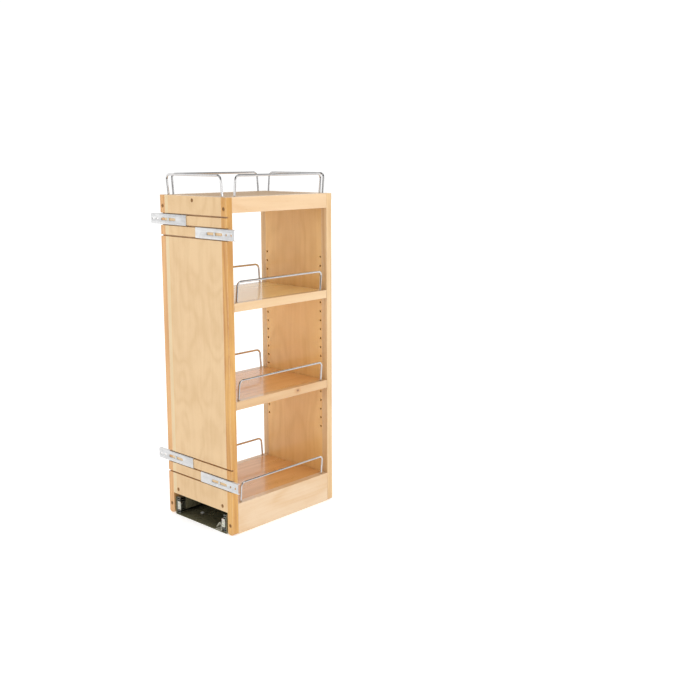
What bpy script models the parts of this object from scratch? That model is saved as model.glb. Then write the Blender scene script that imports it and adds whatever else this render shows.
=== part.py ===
"""Pull-out pantry organiser for a narrow wall cabinet.

A tall open-sided maple box with two adjustable shelves and chrome wire rails.  It rides on two
full-extension ball-bearing slides over a sheet-metal tray that is screwed to the cabinet floor.
Four brackets slide in saw grooves across its front and carry the cabinet's door.

Metres.  X runs across the front, -Y is the front (door side), +Z is up, and the origin is the
centre of the tray's underside.
"""
import math

import bmesh
import bpy
from mathutils import Vector

# ---- wooden unit -------------------------------------------------------------------------------
BODY_WIDTH = 0.2032            # outside to outside of the stiles
BODY_DEPTH = 0.28575           # front face to rear face
BODY_HEIGHT = 0.66675          # foot of the stiles to the top surface
FLOOR_GAP = 0.0015             # the unit hangs this far above the cabinet floor
FIT = 0.0003                   # gap between pieces that touch
PANEL = 0.015                  # thickness of the front and rear panels
STILE_WIDTH = 0.015            # solid strips along the long edges of the panels
STILE_FOOT_RADIUS = 0.004      # rounded feet of the stiles
CUTOUT_HEIGHT = 0.0445         # opening under both panels that clears the tray
TOP_THICKNESS = 0.015
APRON_HEIGHT = 0.030
BASE_HEIGHT = 0.0625           # foot of the base rails to the bottom panel's upper face
BOTTOM_THICKNESS = 0.015

# ---- saw grooves and door brackets ---------------------------------------------------------------
GROOVE_WIDTH = 0.0030
GROOVE_DEPTH = 0.0050
GROOVE_PITCH = 0.0218
UPPER_GROOVES_DOWN = 0.0375    # top surface to the centre of the highest groove
LOWER_GROOVES_UP = 0.0905      # foot to the centre of the lowest groove
GROOVES_PER_SET = 3
BRACKET_LENGTH = 0.114
BRACKET_WALL = 0.0010
BRACKET_WEB = 0.0012
BRACKET_INSET = 0.0040         # how far the bracket's flanges reach into the grooves
BRACKET_TRAVEL = 0.020         # to each side of the middle
BRACKET_SLOT_PLAY = 0.0005     # around the clamp screw in its countersunk slot
BRACKET_HOLE_RADIUS = 0.0022
BRACKET_HOLES_IN = (0.008, 0.022)   # from the bracket's outer end
BRACKETS = (                   # name, side, reach past the stile, groove set, its top groove
    ("upper_left", -1, 0.0309, "upper", 0),
    ("upper_right", 1, 0.0224, "upper", 1),
    ("lower_left", -1, 0.0299, "lower", 0),
    ("lower_right", 1, 0.0194, "lower", 1),
)

# ---- shelves -------------------------------------------------------------------------------------
PIN_COLUMN_IN = 0.0196         # open side to a column of pin holes
PIN_FIRST_Z = 0.1641           # foot to the lowest pin hole
PIN_PITCH = 0.01943
PIN_ROWS = 20
PIN_RADIUS = 0.0022
PIN_LENGTH_OUT = 0.008
PIN_LENGTH_IN = 0.008
PIN_SIDES = 8
SHELF_THICKNESS = 0.017
SHELF_ABOVE_PIN = 0.0088       # pin axis to the shelf's upper face
SHELF_PLAY = 0.0006            # between a shelf's end and a panel
SHELF_SLOT_PLAY = 0.0008       # beside and beyond each pin, in the shelf's slot
SHELVES = (("lower_shelf", 5), ("upper_shelf", 15))   # name and pin row

# ---- wire rails ----------------------------------------------------------------------------------
WIRE_RADIUS = 0.0023
RAIL_HEIGHT = 0.0405           # surface to the wire's axis, measured along the leg
RAIL_BEND = 0.009
RAIL_TILT = math.radians(5.5)  # rails lean outwards
RAIL_INSET = 0.0075            # wire axis to the outer face, at the surface
RAIL_ROOT = 0.011              # length of each leg inside the wood
SIDE_RAIL_END = 0.012875       # inner face of a panel to the leg's axis
END_RAIL_END = 0.0186          # open side to the leg's axis, on the panels' top edges
BEND_STEPS = 4

# ---- assembly screws -----------------------------------------------------------------------------
SCREW_HEAD_RADIUS = 0.0033
SCREW_HEAD = 0.0020
SCREW_SHANK_RADIUS = 0.0017
SCREW_LENGTH = 0.030
SCREW_SIDES = 12
APRON_SCREW_DOWN = 0.022       # top surface to the screws in the stiles
TOP_SCREW_DOWN = 0.0085        # top surface to the screw in the front panel
FOOT_SCREW_UP = 0.0195         # foot to the lower screws in the stiles
BOTTOM_SCREW_IN = 0.0156       # stile to the screws low in the front panel
CLAMP_HEAD_RADIUS = 0.0032     # countersunk at 45 degrees, flush with the bracket's face
CLAMP_HEAD_SUNK = 0.0001
CLAMP_SHANK_RADIUS = 0.0018
CLAMP_DEPTH = 0.010            # how far a clamp screw reaches into the panel

# ---- tray, slides and carriage plate -------------------------------------------------------------
TRAY_GAP = 0.0046              # tray to the base rails at each side
TRAY_SETBACK = 0.000375        # front face of the wood to the tray's front edge
TRAY_SHEET = 0.0012
TRAY_FLANGE = 0.0375           # height of the tray's side flanges
TRAY_HOLE_RADIUS = 0.0028
TRAY_HOLE_IN = 0.039           # edges of the tray to its screw holes, both ways
SLIDE_LENGTH = 0.254
SLIDE_SETBACK = 0.0030         # front face of the wood to the slides' front ends
SLIDE_HEIGHT = 0.035
SLIDE_DEPTH = 0.0124           # across the slide, tray flange to carriage plate
SLIDE_AXIS_Z = 0.020
SLIDE_SHEET = 0.0012
SLIDE_LIP = 0.0020             # how far the outer lip stays short of the slide's inner face
BALL_RACE = 0.0034             # clear height of the outer ball rows
INNER_BALL_RACE = 0.0036       # clear height of the inner ball rows
CAGE_SHEET = 0.0006
CAGE_LENGTH = 0.110
PLATE_SHEET = 0.0012
PLATE_FLANGE_BOTTOM = 0.010    # carriage plate's flanges end this far above the floor

# ---- derived places ------------------------------------------------------------------------------
HALF_WIDTH = BODY_WIDTH / 2
HALF_DEPTH = BODY_DEPTH / 2
FOOT_Z = FLOOR_GAP
TOP_Z = FLOOR_GAP + BODY_HEIGHT
PANEL_Z = FOOT_Z + CUTOUT_HEIGHT             # lower edge of both panels
INNER_X = HALF_WIDTH - STILE_WIDTH           # where panel meets stile
INNER_Y = HALF_DEPTH - PANEL                 # inner faces of the panels
BASE_TOP_Z = FOOT_Z + BASE_HEIGHT
BOTTOM_Z = BASE_TOP_Z - BOTTOM_THICKNESS
PIN_COLUMN_X = HALF_WIDTH - PIN_COLUMN_IN
TRAY_WIDTH = 2 * (INNER_X - TRAY_GAP)
TRAY_LENGTH = BODY_DEPTH - 2 * TRAY_SETBACK
SIDE_RAIL_SPAN = 2 * (INNER_Y - SIDE_RAIL_END)
END_RAIL_SPAN = 2 * (HALF_WIDTH - END_RAIL_END)
RAIL_X = HALF_WIDTH - RAIL_INSET
RAIL_Y = HALF_DEPTH - RAIL_INSET
SCREW_X = HALF_WIDTH - STILE_WIDTH / 2
SLIDE_FRONT_Y = -HALF_DEPTH + SLIDE_SETBACK
BRACKET_HEIGHT = GROOVE_PITCH - GROOVE_WIDTH + 2 * (FIT + BRACKET_WALL)

GROOVES = {
    "upper": [TOP_Z - UPPER_GROOVES_DOWN - i * GROOVE_PITCH for i in range(GROOVES_PER_SET)],
    "lower": [FOOT_Z + LOWER_GROOVES_UP + (GROOVES_PER_SET - 1 - i) * GROOVE_PITCH
              for i in range(GROOVES_PER_SET)],
}
FRONT_SCREWS = (               # name, X, Z
    ("stile_left_top", -SCREW_X, TOP_Z - APRON_SCREW_DOWN),
    ("stile_right_top", SCREW_X, TOP_Z - APRON_SCREW_DOWN),
    ("stile_left_foot", -SCREW_X, FOOT_Z + FOOT_SCREW_UP),
    ("stile_right_foot", SCREW_X, FOOT_Z + FOOT_SCREW_UP),
    ("panel_top", 0.0, TOP_Z - TOP_SCREW_DOWN),
    ("panel_left", BOTTOM_SCREW_IN - INNER_X, BASE_TOP_Z - BOTTOM_THICKNESS / 2),
    ("panel_right", INNER_X - BOTTOM_SCREW_IN, BASE_TOP_Z - BOTTOM_THICKNESS / 2),
)


def pin_z(row):
    """Height of a pin hole's axis; row 0 is the lowest."""
    return FOOT_Z + PIN_FIRST_Z + row * PIN_PITCH


def around(radius, sides):
    """Radius of a regular hole that clears a round piece of the given radius by FIT."""
    return (radius + FIT) / math.cos(math.pi / sides)


# ---- materials -----------------------------------------------------------------------------------
def material(name, color, roughness, metallic=0.0):
    made = bpy.data.materials.new(name)
    made.use_nodes = True
    shader = made.node_tree.nodes["Principled BSDF"]
    shader.inputs["Base Color"].default_value = (*color, 1.0)
    shader.inputs["Roughness"].default_value = roughness
    shader.inputs["Metallic"].default_value = metallic
    made.diffuse_color = (*color, 1.0)
    return made


# ---- mesh helpers --------------------------------------------------------------------------------
def add_box(mesh, low, high):
    """Add a box with the given low and high corners."""
    corners = [mesh.verts.new((x, y, z)) for x in (low[0], high[0])
               for y in (low[1], high[1]) for z in (low[2], high[2])]
    for face in ((0, 1, 3, 2), (4, 6, 7, 5), (0, 4, 5, 1), (2, 3, 7, 6), (0, 2, 6, 4), (1, 5, 7, 3)):
        mesh.faces.new([corners[i] for i in face])


def add_prism(mesh, outline, start, end):
    """Extrude a closed 3-D outline by the step from start to end."""
    near = [mesh.verts.new(Vector(point) + Vector(start)) for point in outline]
    far = [mesh.verts.new(Vector(point) + Vector(end)) for point in outline]
    mesh.faces.new(near)
    mesh.faces.new(list(reversed(far)))
    count = len(outline)
    for i in range(count):
        j = (i + 1) % count
        mesh.faces.new((near[j], near[i], far[i], far[j]))


def add_turned(mesh, start, along, profile, sides):
    """Add a turned solid: profile holds (distance along the axis, radius) pairs."""
    along = Vector(along).normalized()
    across = along.orthogonal().normalized()
    other = along.cross(across)
    rings = []
    for distance, radius in profile:
        centre = Vector(start) + along * distance
        ring = []
        for k in range(sides):
            angle = 2 * math.pi * (k + 0.5) / sides
            ring.append(mesh.verts.new(
                centre + across * (radius * math.cos(angle)) + other * (radius * math.sin(angle))))
        rings.append(ring)
    for one, two in zip(rings, rings[1:]):
        for k in range(sides):
            j = (k + 1) % sides
            mesh.faces.new((one[k], one[j], two[j], two[k]))
    mesh.faces.new(list(reversed(rings[0])))
    mesh.faces.new(rings[-1])


def world_of(frame):
    """World place of an empty whose parents are only moved, never turned."""
    place = Vector((0, 0, 0))
    while frame is not None:
        place += frame.location
        frame = frame.parent
    return place


def finish(name, mesh, look, parent=None, cutters=()):
    """Turn a bmesh in world coordinates into a named object centred on its own box."""
    bmesh.ops.recalc_face_normals(mesh, faces=mesh.faces)
    low = Vector([min(v.co[i] for v in mesh.verts) for i in range(3)])
    high = Vector([max(v.co[i] for v in mesh.verts) for i in range(3)])
    origin = (low + high) / 2
    bmesh.ops.translate(mesh, verts=mesh.verts, vec=-origin)
    data = bpy.data.meshes.new(name)
    mesh.to_mesh(data)
    mesh.free()
    part = bpy.data.objects.new(name, data)
    bpy.context.collection.objects.link(part)
    part.parent = parent
    part.location = origin - world_of(parent)
    if look is None:
        part.hide_render = True
        part.display_type = "WIRE"
    else:
        data.materials.append(look)
    for cutter in cutters:
        cut = part.modifiers.new(cutter.name, "BOOLEAN")
        cut.operation = "DIFFERENCE"
        cut.solver = "EXACT"
        cut.object = cutter
    return part


def joint_frame(name, place, parent=None):
    """An empty on a joint's axis, which carries the pieces that move with it."""
    frame = bpy.data.objects.new(name, None)
    bpy.context.collection.objects.link(frame)
    frame.empty_display_size = 0.02
    frame.parent = parent
    frame.location = Vector(place) - world_of(parent)
    return frame


def box_part(name, low, high, look, parent, cutters=()):
    mesh = bmesh.new()
    add_box(mesh, low, high)
    return finish(name, mesh, look, parent, cutters)


# ---- wire rails ----------------------------------------------------------------------------------
def rail_point(foot, along, outward, u, v):
    """A point on a rail: u along it from its middle, v up its leaning legs."""
    up = Vector((0, 0, 1)) * math.cos(RAIL_TILT) + Vector(outward) * math.sin(RAIL_TILT)
    return Vector(foot) + Vector(along) * u + up * v


def wire_rail(name, foot, along, outward, span, look, parent):
    """An inverted U of wire, its two legs rooted in the wood at each side of foot."""
    half = span / 2
    outline = [(-half, -RAIL_ROOT)]
    for side in (-1, 1):
        for i in range(BEND_STEPS + 1):
            turn = math.pi / 2 * i / BEND_STEPS
            if side > 0:
                turn = math.pi / 2 - turn
            u = side * (half - RAIL_BEND * (1 - math.cos(turn)))
            outline.append((u, RAIL_HEIGHT - RAIL_BEND * (1 - math.sin(turn))))
    outline.append((half, -RAIL_ROOT))
    points = [rail_point(foot, along, outward, u, v) for u, v in outline]
    origin = Vector(foot)
    wire = bpy.data.curves.new(name, "CURVE")
    wire.dimensions = "3D"
    wire.bevel_depth = WIRE_RADIUS
    wire.bevel_resolution = 2
    wire.use_fill_caps = True
    spline = wire.splines.new("POLY")
    spline.points.add(len(points) - 1)
    for slot, point in zip(spline.points, points):
        slot.co = (*(point - origin), 1.0)
    wire.materials.append(look)
    rail = bpy.data.objects.new(name, wire)
    bpy.context.collection.objects.link(rail)
    rail.parent = parent
    rail.location = origin - world_of(parent)
    return rail


def add_rail_sockets(mesh, foot, along, outward, span):
    """The two holes that a rail's legs stand in."""
    clear = 0.002
    for side in (-1, 1):
        start = rail_point(foot, along, outward, side * span / 2, -RAIL_ROOT - FIT)
        end = rail_point(foot, along, outward, side * span / 2, clear)
        hole = around(WIRE_RADIUS, 8)
        add_turned(mesh, start, end - start, [(0, hole), ((end - start).length, hole)], 8)


# ---- joinery cuts --------------------------------------------------------------------------------
def wood_cuts():
    """One cutter for the fixed wooden pieces: grooves, screw holes, pin holes, rail sockets."""
    mesh = bmesh.new()
    past = 0.004
    for heights in GROOVES.values():
        for z in heights:
            add_box(mesh, (-HALF_WIDTH - past, -HALF_DEPTH - past, z - GROOVE_WIDTH / 2),
                    (HALF_WIDTH + past, -HALF_DEPTH + GROOVE_DEPTH, z + GROOVE_WIDTH / 2))
    head = around(SCREW_HEAD_RADIUS, SCREW_SIDES)
    shank = around(SCREW_SHANK_RADIUS, SCREW_SIDES)
    step = past + SCREW_HEAD + 2 * FIT
    for _, x, z in FRONT_SCREWS:
        add_turned(mesh, (x, -HALF_DEPTH - past, z), (0, 1, 0),
                   [(0, head), (step, head), (step, shank), (past + SCREW_LENGTH + 2 * FIT, shank)],
                   SCREW_SIDES)
    clamp = around(CLAMP_SHANK_RADIUS, SCREW_SIDES)
    for _, side, reach, group, top in BRACKETS:
        x = bracket_x(side, reach)
        add_turned(mesh, (x, -HALF_DEPTH - past, bracket_z(group, top)), (0, 1, 0),
                   [(0, clamp), (past + CLAMP_DEPTH + FIT, clamp)], SCREW_SIDES)
    pin = around(PIN_RADIUS, PIN_SIDES)
    for end in (-1, 1):
        for side in (-1, 1):
            for row in range(PIN_ROWS):
                add_turned(mesh, (side * PIN_COLUMN_X, end * (INNER_Y - past), pin_z(row)),
                           (0, end, 0), [(0, pin), (past + PIN_LENGTH_IN + FIT, pin)], PIN_SIDES)
    for _, foot, along, outward, span in carriage_rails():
        add_rail_sockets(mesh, foot, along, outward, span)
    return finish("wood_cuts", mesh, None)


def bracket_x(side, reach):
    """Middle of a bracket whose outer end reaches past the stile."""
    return side * (HALF_WIDTH + reach - BRACKET_LENGTH / 2)


def bracket_z(group, top):
    """Middle height of a bracket that rides in groove number top and the one below it."""
    return (GROOVES[group][top] + GROOVES[group][top + 1]) / 2


def carriage_rails():
    """Name, foot, direction, outward side and span of the rails fixed to the unit itself."""
    rails = []
    for name, side in (("left", -1), ("right", 1)):
        rails.append(("top_rail_" + name, (side * RAIL_X, 0, TOP_Z), (0, 1, 0), (side, 0, 0),
                      SIDE_RAIL_SPAN))
        rails.append(("bottom_rail_" + name, (side * RAIL_X, 0, BASE_TOP_Z), (0, 1, 0),
                      (side, 0, 0), SIDE_RAIL_SPAN))
    for name, end in (("front", -1), ("rear", 1)):
        rails.append(("top_rail_" + name, (0, end * RAIL_Y, TOP_Z), (1, 0, 0), (0, end, 0),
                      END_RAIL_SPAN))
    return rails


# ---- wooden unit ---------------------------------------------------------------------------------
def stile(name, side, end, look, parent, cuts):
    """A solid strip with a rounded foot along one long edge of a panel."""
    low = min(side * (INNER_X + FIT), side * HALF_WIDTH)
    high = max(side * (INNER_X + FIT), side * HALF_WIDTH)
    radius = STILE_FOOT_RADIUS
    outline = [(low, 0, TOP_Z)]
    for corner, first in ((low + radius, 180), (high - radius, 270)):
        for i in range(4):
            angle = math.radians(first + 30 * i)
            outline.append((corner + radius * math.cos(angle), 0,
                            FOOT_Z + radius + radius * math.sin(angle)))
    outline.append((high, 0, TOP_Z))
    mesh = bmesh.new()
    add_prism(mesh, outline, (0, end * HALF_DEPTH, 0), (0, end * INNER_Y, 0))
    return finish(name, mesh, look, parent, [cuts])


def panels(ply, solid, parent, cuts):
    for name, end in (("front", -1), ("rear", 1)):
        low_y = min(end * HALF_DEPTH, end * INNER_Y)
        box_part(name + "_panel", (-INNER_X, low_y, PANEL_Z), (INNER_X, low_y + PANEL, TOP_Z),
                 ply, parent, [cuts])
        for side_name, side in (("left", -1), ("right", 1)):
            stile(name + "_stile_" + side_name, side, end, solid, parent, cuts)


def top_and_bottom(ply, solid, parent, cuts):
    """Top and bottom panels, each between two solid rails that close the open sides."""
    end = INNER_Y - FIT
    inner = INNER_X - FIT
    box_part("top_panel", (-inner, -end, TOP_Z - TOP_THICKNESS), (inner, end, TOP_Z),
             ply, parent, [cuts])
    box_part("bottom_panel", (-inner, -end, BOTTOM_Z), (inner, end, BASE_TOP_Z),
             ply, parent, [cuts])
    for name, side in (("left", -1), ("right", 1)):
        low_x = min(side * INNER_X, side * HALF_WIDTH)
        high_x = max(side * INNER_X, side * HALF_WIDTH)
        box_part("top_apron_" + name, (low_x, -end, TOP_Z - APRON_HEIGHT), (high_x, end, TOP_Z),
                 solid, parent, [cuts])
        box_part("base_rail_" + name, (low_x, -end, FOOT_Z), (high_x, end, BASE_TOP_Z),
                 solid, parent, [cuts])


def front_screws(look, parent):
    for name, x, z in FRONT_SCREWS:
        mesh = bmesh.new()
        add_turned(mesh, (x, -HALF_DEPTH + FIT, z), (0, 1, 0),
                   [(0, SCREW_HEAD_RADIUS), (SCREW_HEAD, SCREW_HEAD_RADIUS),
                    (SCREW_HEAD, SCREW_SHANK_RADIUS), (SCREW_LENGTH, SCREW_SHANK_RADIUS)],
                   SCREW_SIDES)
        finish("screw_" + name, mesh, look, parent)


# ---- shelves -------------------------------------------------------------------------------------
def shelf_rails(name, top):
    """Name, foot, direction, outward side and span of a shelf's two rails."""
    return [(name + "_rail_" + side_name, (side * RAIL_X, 0, top), (0, 1, 0), (side, 0, 0),
             SIDE_RAIL_SPAN) for side_name, side in (("left", -1), ("right", 1))]


def shelf(name, row, wood, chrome, parent):
    """A board that rests on four pins, hidden in slots that open at its underside."""
    top = pin_z(row) + SHELF_ABOVE_PIN
    under = top - SHELF_THICKNESS
    frame = joint_frame(name, (0, 0, top), parent)
    mesh = bmesh.new()
    half = PIN_RADIUS + SHELF_SLOT_PLAY
    past = 0.003
    for end in (-1, 1):
        inside = INNER_Y - PIN_LENGTH_OUT - SHELF_SLOT_PLAY
        for side in (-1, 1):
            low_y, high_y = sorted((end * inside, end * (INNER_Y + past)))
            add_box(mesh, (side * PIN_COLUMN_X - half, low_y, under - past),
                    (side * PIN_COLUMN_X + half, high_y, pin_z(row) + PIN_RADIUS + FIT))
    for _, foot, along, outward, span in shelf_rails(name, top):
        add_rail_sockets(mesh, foot, along, outward, span)
    cuts = finish(name + "_cuts", mesh, None, frame)
    end = INNER_Y - SHELF_PLAY
    box_part(name + "_board", (-HALF_WIDTH, -end, under), (HALF_WIDTH, end, top), wood, frame,
             [cuts])
    for rail, foot, along, outward, span in shelf_rails(name, top):
        wire_rail(rail, foot, along, outward, span, chrome, frame)


def shelf_pins(look, parent):
    for name, row in SHELVES:
        for end_name, end in (("front", -1), ("rear", 1)):
            for side_name, side in (("left", -1), ("right", 1)):
                mesh = bmesh.new()
                add_turned(mesh, (side * PIN_COLUMN_X, end * (INNER_Y - PIN_LENGTH_OUT), pin_z(row)),
                           (0, end, 0),
                           [(0, PIN_RADIUS), (PIN_LENGTH_OUT + PIN_LENGTH_IN, PIN_RADIUS)], PIN_SIDES)
                finish("pin_" + name.split("_")[0] + "_" + end_name + "_" + side_name, mesh, look,
                       parent)


# ---- door brackets -------------------------------------------------------------------------------
def add_slot(mesh, centre, straight, near, far):
    """A round-ended countersunk slot along X; near and far are (Y, half height) at its two ends."""
    rings = []
    for y, radius in (near, far):
        ring = []
        for end, first in ((straight / 2, -90), (-straight / 2, 90)):
            for i in range(7):
                angle = math.radians(first + 30 * i)
                ring.append(mesh.verts.new((centre[0] + end + radius * math.cos(angle), y,
                                            centre[1] + radius * math.sin(angle))))
        rings.append(ring)
    count = len(rings[0])
    mesh.faces.new(rings[0])
    mesh.faces.new(list(reversed(rings[1])))
    for i in range(count):
        j = (i + 1) % count
        mesh.faces.new((rings[0][j], rings[0][i], rings[1][i], rings[1][j]))


def bracket(name, side, reach, group, top, zinc, steel, parent):
    """A channel whose flanges ride in two grooves; one clamp screw passes through its slot."""
    x = bracket_x(side, reach)
    z = bracket_z(group, top)
    frame = joint_frame("bracket_" + name + "_slide", (x, -HALF_DEPTH, z), parent)
    back = -HALF_DEPTH - FIT
    front = back - BRACKET_WEB
    lip = -HALF_DEPTH + BRACKET_INSET
    low, high = z - BRACKET_HEIGHT / 2, z + BRACKET_HEIGHT / 2
    wall = BRACKET_WALL
    outline = [(0, front, low), (0, lip, low), (0, lip, low + wall), (0, back, low + wall),
               (0, back, high - wall), (0, lip, high - wall), (0, lip, high), (0, front, high)]
    mesh = bmesh.new()
    half = BRACKET_LENGTH / 2
    add_prism(mesh, outline, (x - half, 0, 0), (x + half, 0, 0))
    holes = bmesh.new()
    past = BRACKET_WEB / 2
    head_at = front + CLAMP_HEAD_SUNK
    slot = CLAMP_HEAD_RADIUS + BRACKET_SLOT_PLAY + head_at    # half height, less Y, at 45 degrees
    add_slot(holes, (x, z), 2 * BRACKET_TRAVEL + FIT, (front - past, slot - front + past),
             (back + FIT / 2, slot - back - FIT / 2))
    for inward in BRACKET_HOLES_IN:
        add_turned(holes, (x + side * (half - inward), front - past, z), (0, 1, 0),
                   [(0, BRACKET_HOLE_RADIUS), (3 * past, BRACKET_HOLE_RADIUS)], SCREW_SIDES)
    cuts = finish("bracket_" + name + "_cuts", holes, None, frame)
    finish("bracket_" + name, mesh, zinc, frame, [cuts])

    screw = bmesh.new()
    cone = CLAMP_HEAD_RADIUS - CLAMP_SHANK_RADIUS
    add_turned(screw, (x, head_at, z), (0, 1, 0),
               [(0, CLAMP_HEAD_RADIUS), (cone, CLAMP_SHANK_RADIUS),
                (-HALF_DEPTH + CLAMP_DEPTH - head_at, CLAMP_SHANK_RADIUS)], SCREW_SIDES)
    finish("clamp_screw_" + name, screw, steel, parent)


# ---- tray, slides and carriage plate -------------------------------------------------------------
def channel(web, tip, half_height, sheet, side):
    """Outline in XZ of a C section: its web stands at X = web and its lips reach to X = tip."""
    inner = web + math.copysign(sheet, tip - web)
    z = SLIDE_AXIS_Z
    outline = [(web, z - half_height), (tip, z - half_height), (tip, z - half_height + sheet),
               (inner, z - half_height + sheet), (inner, z + half_height - sheet),
               (tip, z + half_height - sheet), (tip, z + half_height), (web, z + half_height)]
    return [(side * x, 0, height) for x, height in outline]


def base_tray(look):
    """Sheet-metal U with four screw holes in its floor."""
    half, sheet, top = TRAY_WIDTH / 2, TRAY_SHEET, TRAY_FLANGE
    outline = [(-half, 0, top), (-half, 0, 0), (half, 0, 0), (half, 0, top),
               (half - sheet, 0, top), (half - sheet, 0, sheet), (sheet - half, 0, sheet),
               (sheet - half, 0, top)]
    mesh = bmesh.new()
    add_prism(mesh, outline, (0, -TRAY_LENGTH / 2, 0), (0, TRAY_LENGTH / 2, 0))
    holes = bmesh.new()
    hole_x, hole_y = half - TRAY_HOLE_IN, TRAY_LENGTH / 2 - TRAY_HOLE_IN
    for x in (-hole_x, hole_x):
        for y in (-hole_y, hole_y):
            add_turned(holes, (x, y, -sheet), (0, 0, 1),
                       [(0, TRAY_HOLE_RADIUS), (3 * sheet, TRAY_HOLE_RADIUS)], SCREW_SIDES)
    cuts = finish("base_tray_cuts", holes, None)
    finish("base_tray", mesh, look, None, [cuts])


def slides(zinc, cage_look, carriage):
    """Both three-part slides: cabinet member, middle member, unit member and two ball cages."""
    length, sheet = SLIDE_LENGTH, SLIDE_SHEET
    outer_face = TRAY_WIDTH / 2 - TRAY_SHEET - FIT
    inner_face = outer_face - SLIDE_DEPTH
    outer_half = SLIDE_HEIGHT / 2
    middle_half = outer_half - sheet - BALL_RACE
    inner_half = middle_half - sheet - INNER_BALL_RACE
    middle_web = outer_face - sheet - 2 * FIT - CAGE_SHEET
    inner_tip = middle_web - sheet - 2 * FIT - CAGE_SHEET
    outer_cage_half = outer_half - sheet - (BALL_RACE - CAGE_SHEET) / 2
    inner_cage_half = middle_half - sheet - (INNER_BALL_RACE - CAGE_SHEET) / 2
    lip = inner_face + SLIDE_LIP
    front = SLIDE_FRONT_Y
    middle = front + length / 2
    frames = {name: joint_frame(name, (0, middle, SLIDE_AXIS_Z))
              for name in ("slide_middle", "outer_cages", "inner_cages")}
    inner_web_out = inner_face + sheet
    members = (                # name, web X, lip tip X, half height, sheet, length, frame, look
        ("slide_outer", outer_face, lip, outer_half, sheet, length, None, zinc),
        ("slide_middle", middle_web, lip, middle_half, sheet, length, frames["slide_middle"], zinc),
        ("slide_inner", inner_face, inner_tip, inner_half, sheet, length, carriage, zinc),
        ("outer_cage", outer_face - sheet - FIT, lip + FIT, outer_cage_half, CAGE_SHEET,
         CAGE_LENGTH, frames["outer_cages"], cage_look),
        ("inner_cage", middle_web - sheet - FIT, inner_web_out + 2 * FIT, inner_cage_half,
         CAGE_SHEET, CAGE_LENGTH, frames["inner_cages"], cage_look),
    )
    for side_name, side in (("left", -1), ("right", 1)):
        for name, web, tip, half, wall, span, frame, look in members:
            mesh = bmesh.new()
            add_prism(mesh, channel(web, tip, half, wall, side), (0, middle - span / 2, 0),
                      (0, middle + span / 2, 0))
            finish(name + "_" + side_name, mesh, look, frame)


def carriage_plate(look, parent):
    """Sheet-metal U, screwed under the bottom panel; the unit members hang on its flanges."""
    half = TRAY_WIDTH / 2 - TRAY_SHEET - 2 * FIT - SLIDE_DEPTH
    top, sheet = BOTTOM_Z - FIT, PLATE_SHEET
    low = PLATE_FLANGE_BOTTOM
    outline = [(-half, 0, low), (-half, 0, top), (half, 0, top), (half, 0, low),
               (half - sheet, 0, low), (half - sheet, 0, top - sheet), (sheet - half, 0, top - sheet),
               (sheet - half, 0, low)]
    mesh = bmesh.new()
    end = INNER_Y - FIT
    add_prism(mesh, outline, (0, -end, 0), (0, end, 0))
    finish("carriage_plate", mesh, look, parent)


# ---- build ---------------------------------------------------------------------------------------
for old in list(bpy.data.objects):
    bpy.data.objects.remove(old, do_unlink=True)

maple_ply = material("maple_ply", (0.80, 0.58, 0.35), 0.35)
solid_maple = material("solid_maple", (0.78, 0.47, 0.22), 0.35)
shelf_maple = material("shelf_maple", (0.72, 0.43, 0.20), 0.30)
chrome_wire = material("chrome_wire", (0.75, 0.75, 0.76), 0.12, 1.0)
zinc_plate = material("zinc_plate", (0.82, 0.84, 0.86), 0.35, 1.0)
slide_steel = material("slide_steel", (0.45, 0.46, 0.44), 0.30, 1.0)
dark_steel = material("dark_steel", (0.10, 0.10, 0.09), 0.25, 1.0)
cage_steel = material("cage_steel", (0.55, 0.50, 0.38), 0.35, 1.0)
screw_steel = material("screw_steel", (0.30, 0.17, 0.07), 0.40, 1.0)

base_tray(dark_steel)
unit = joint_frame("carriage", (0, 0, FOOT_Z))
slides(slide_steel, cage_steel, unit)
carriage_plate(dark_steel, unit)

cuts_in_wood = wood_cuts()
panels(maple_ply, solid_maple, unit, cuts_in_wood)
top_and_bottom(maple_ply, solid_maple, unit, cuts_in_wood)
for rail_name, rail_foot, rail_along, rail_outward, rail_span in carriage_rails():
    wire_rail(rail_name, rail_foot, rail_along, rail_outward, rail_span, chrome_wire, unit)
front_screws(screw_steel, unit)
shelf_pins(slide_steel, unit)
for shelf_name, pin_row in SHELVES:
    shelf(shelf_name, pin_row, shelf_maple, chrome_wire, unit)
for bracket_row in BRACKETS:
    bracket(*bracket_row, zinc_plate, slide_steel, unit)
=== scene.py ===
import math

import bmesh
import bpy
from mathutils import Matrix, Vector


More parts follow.
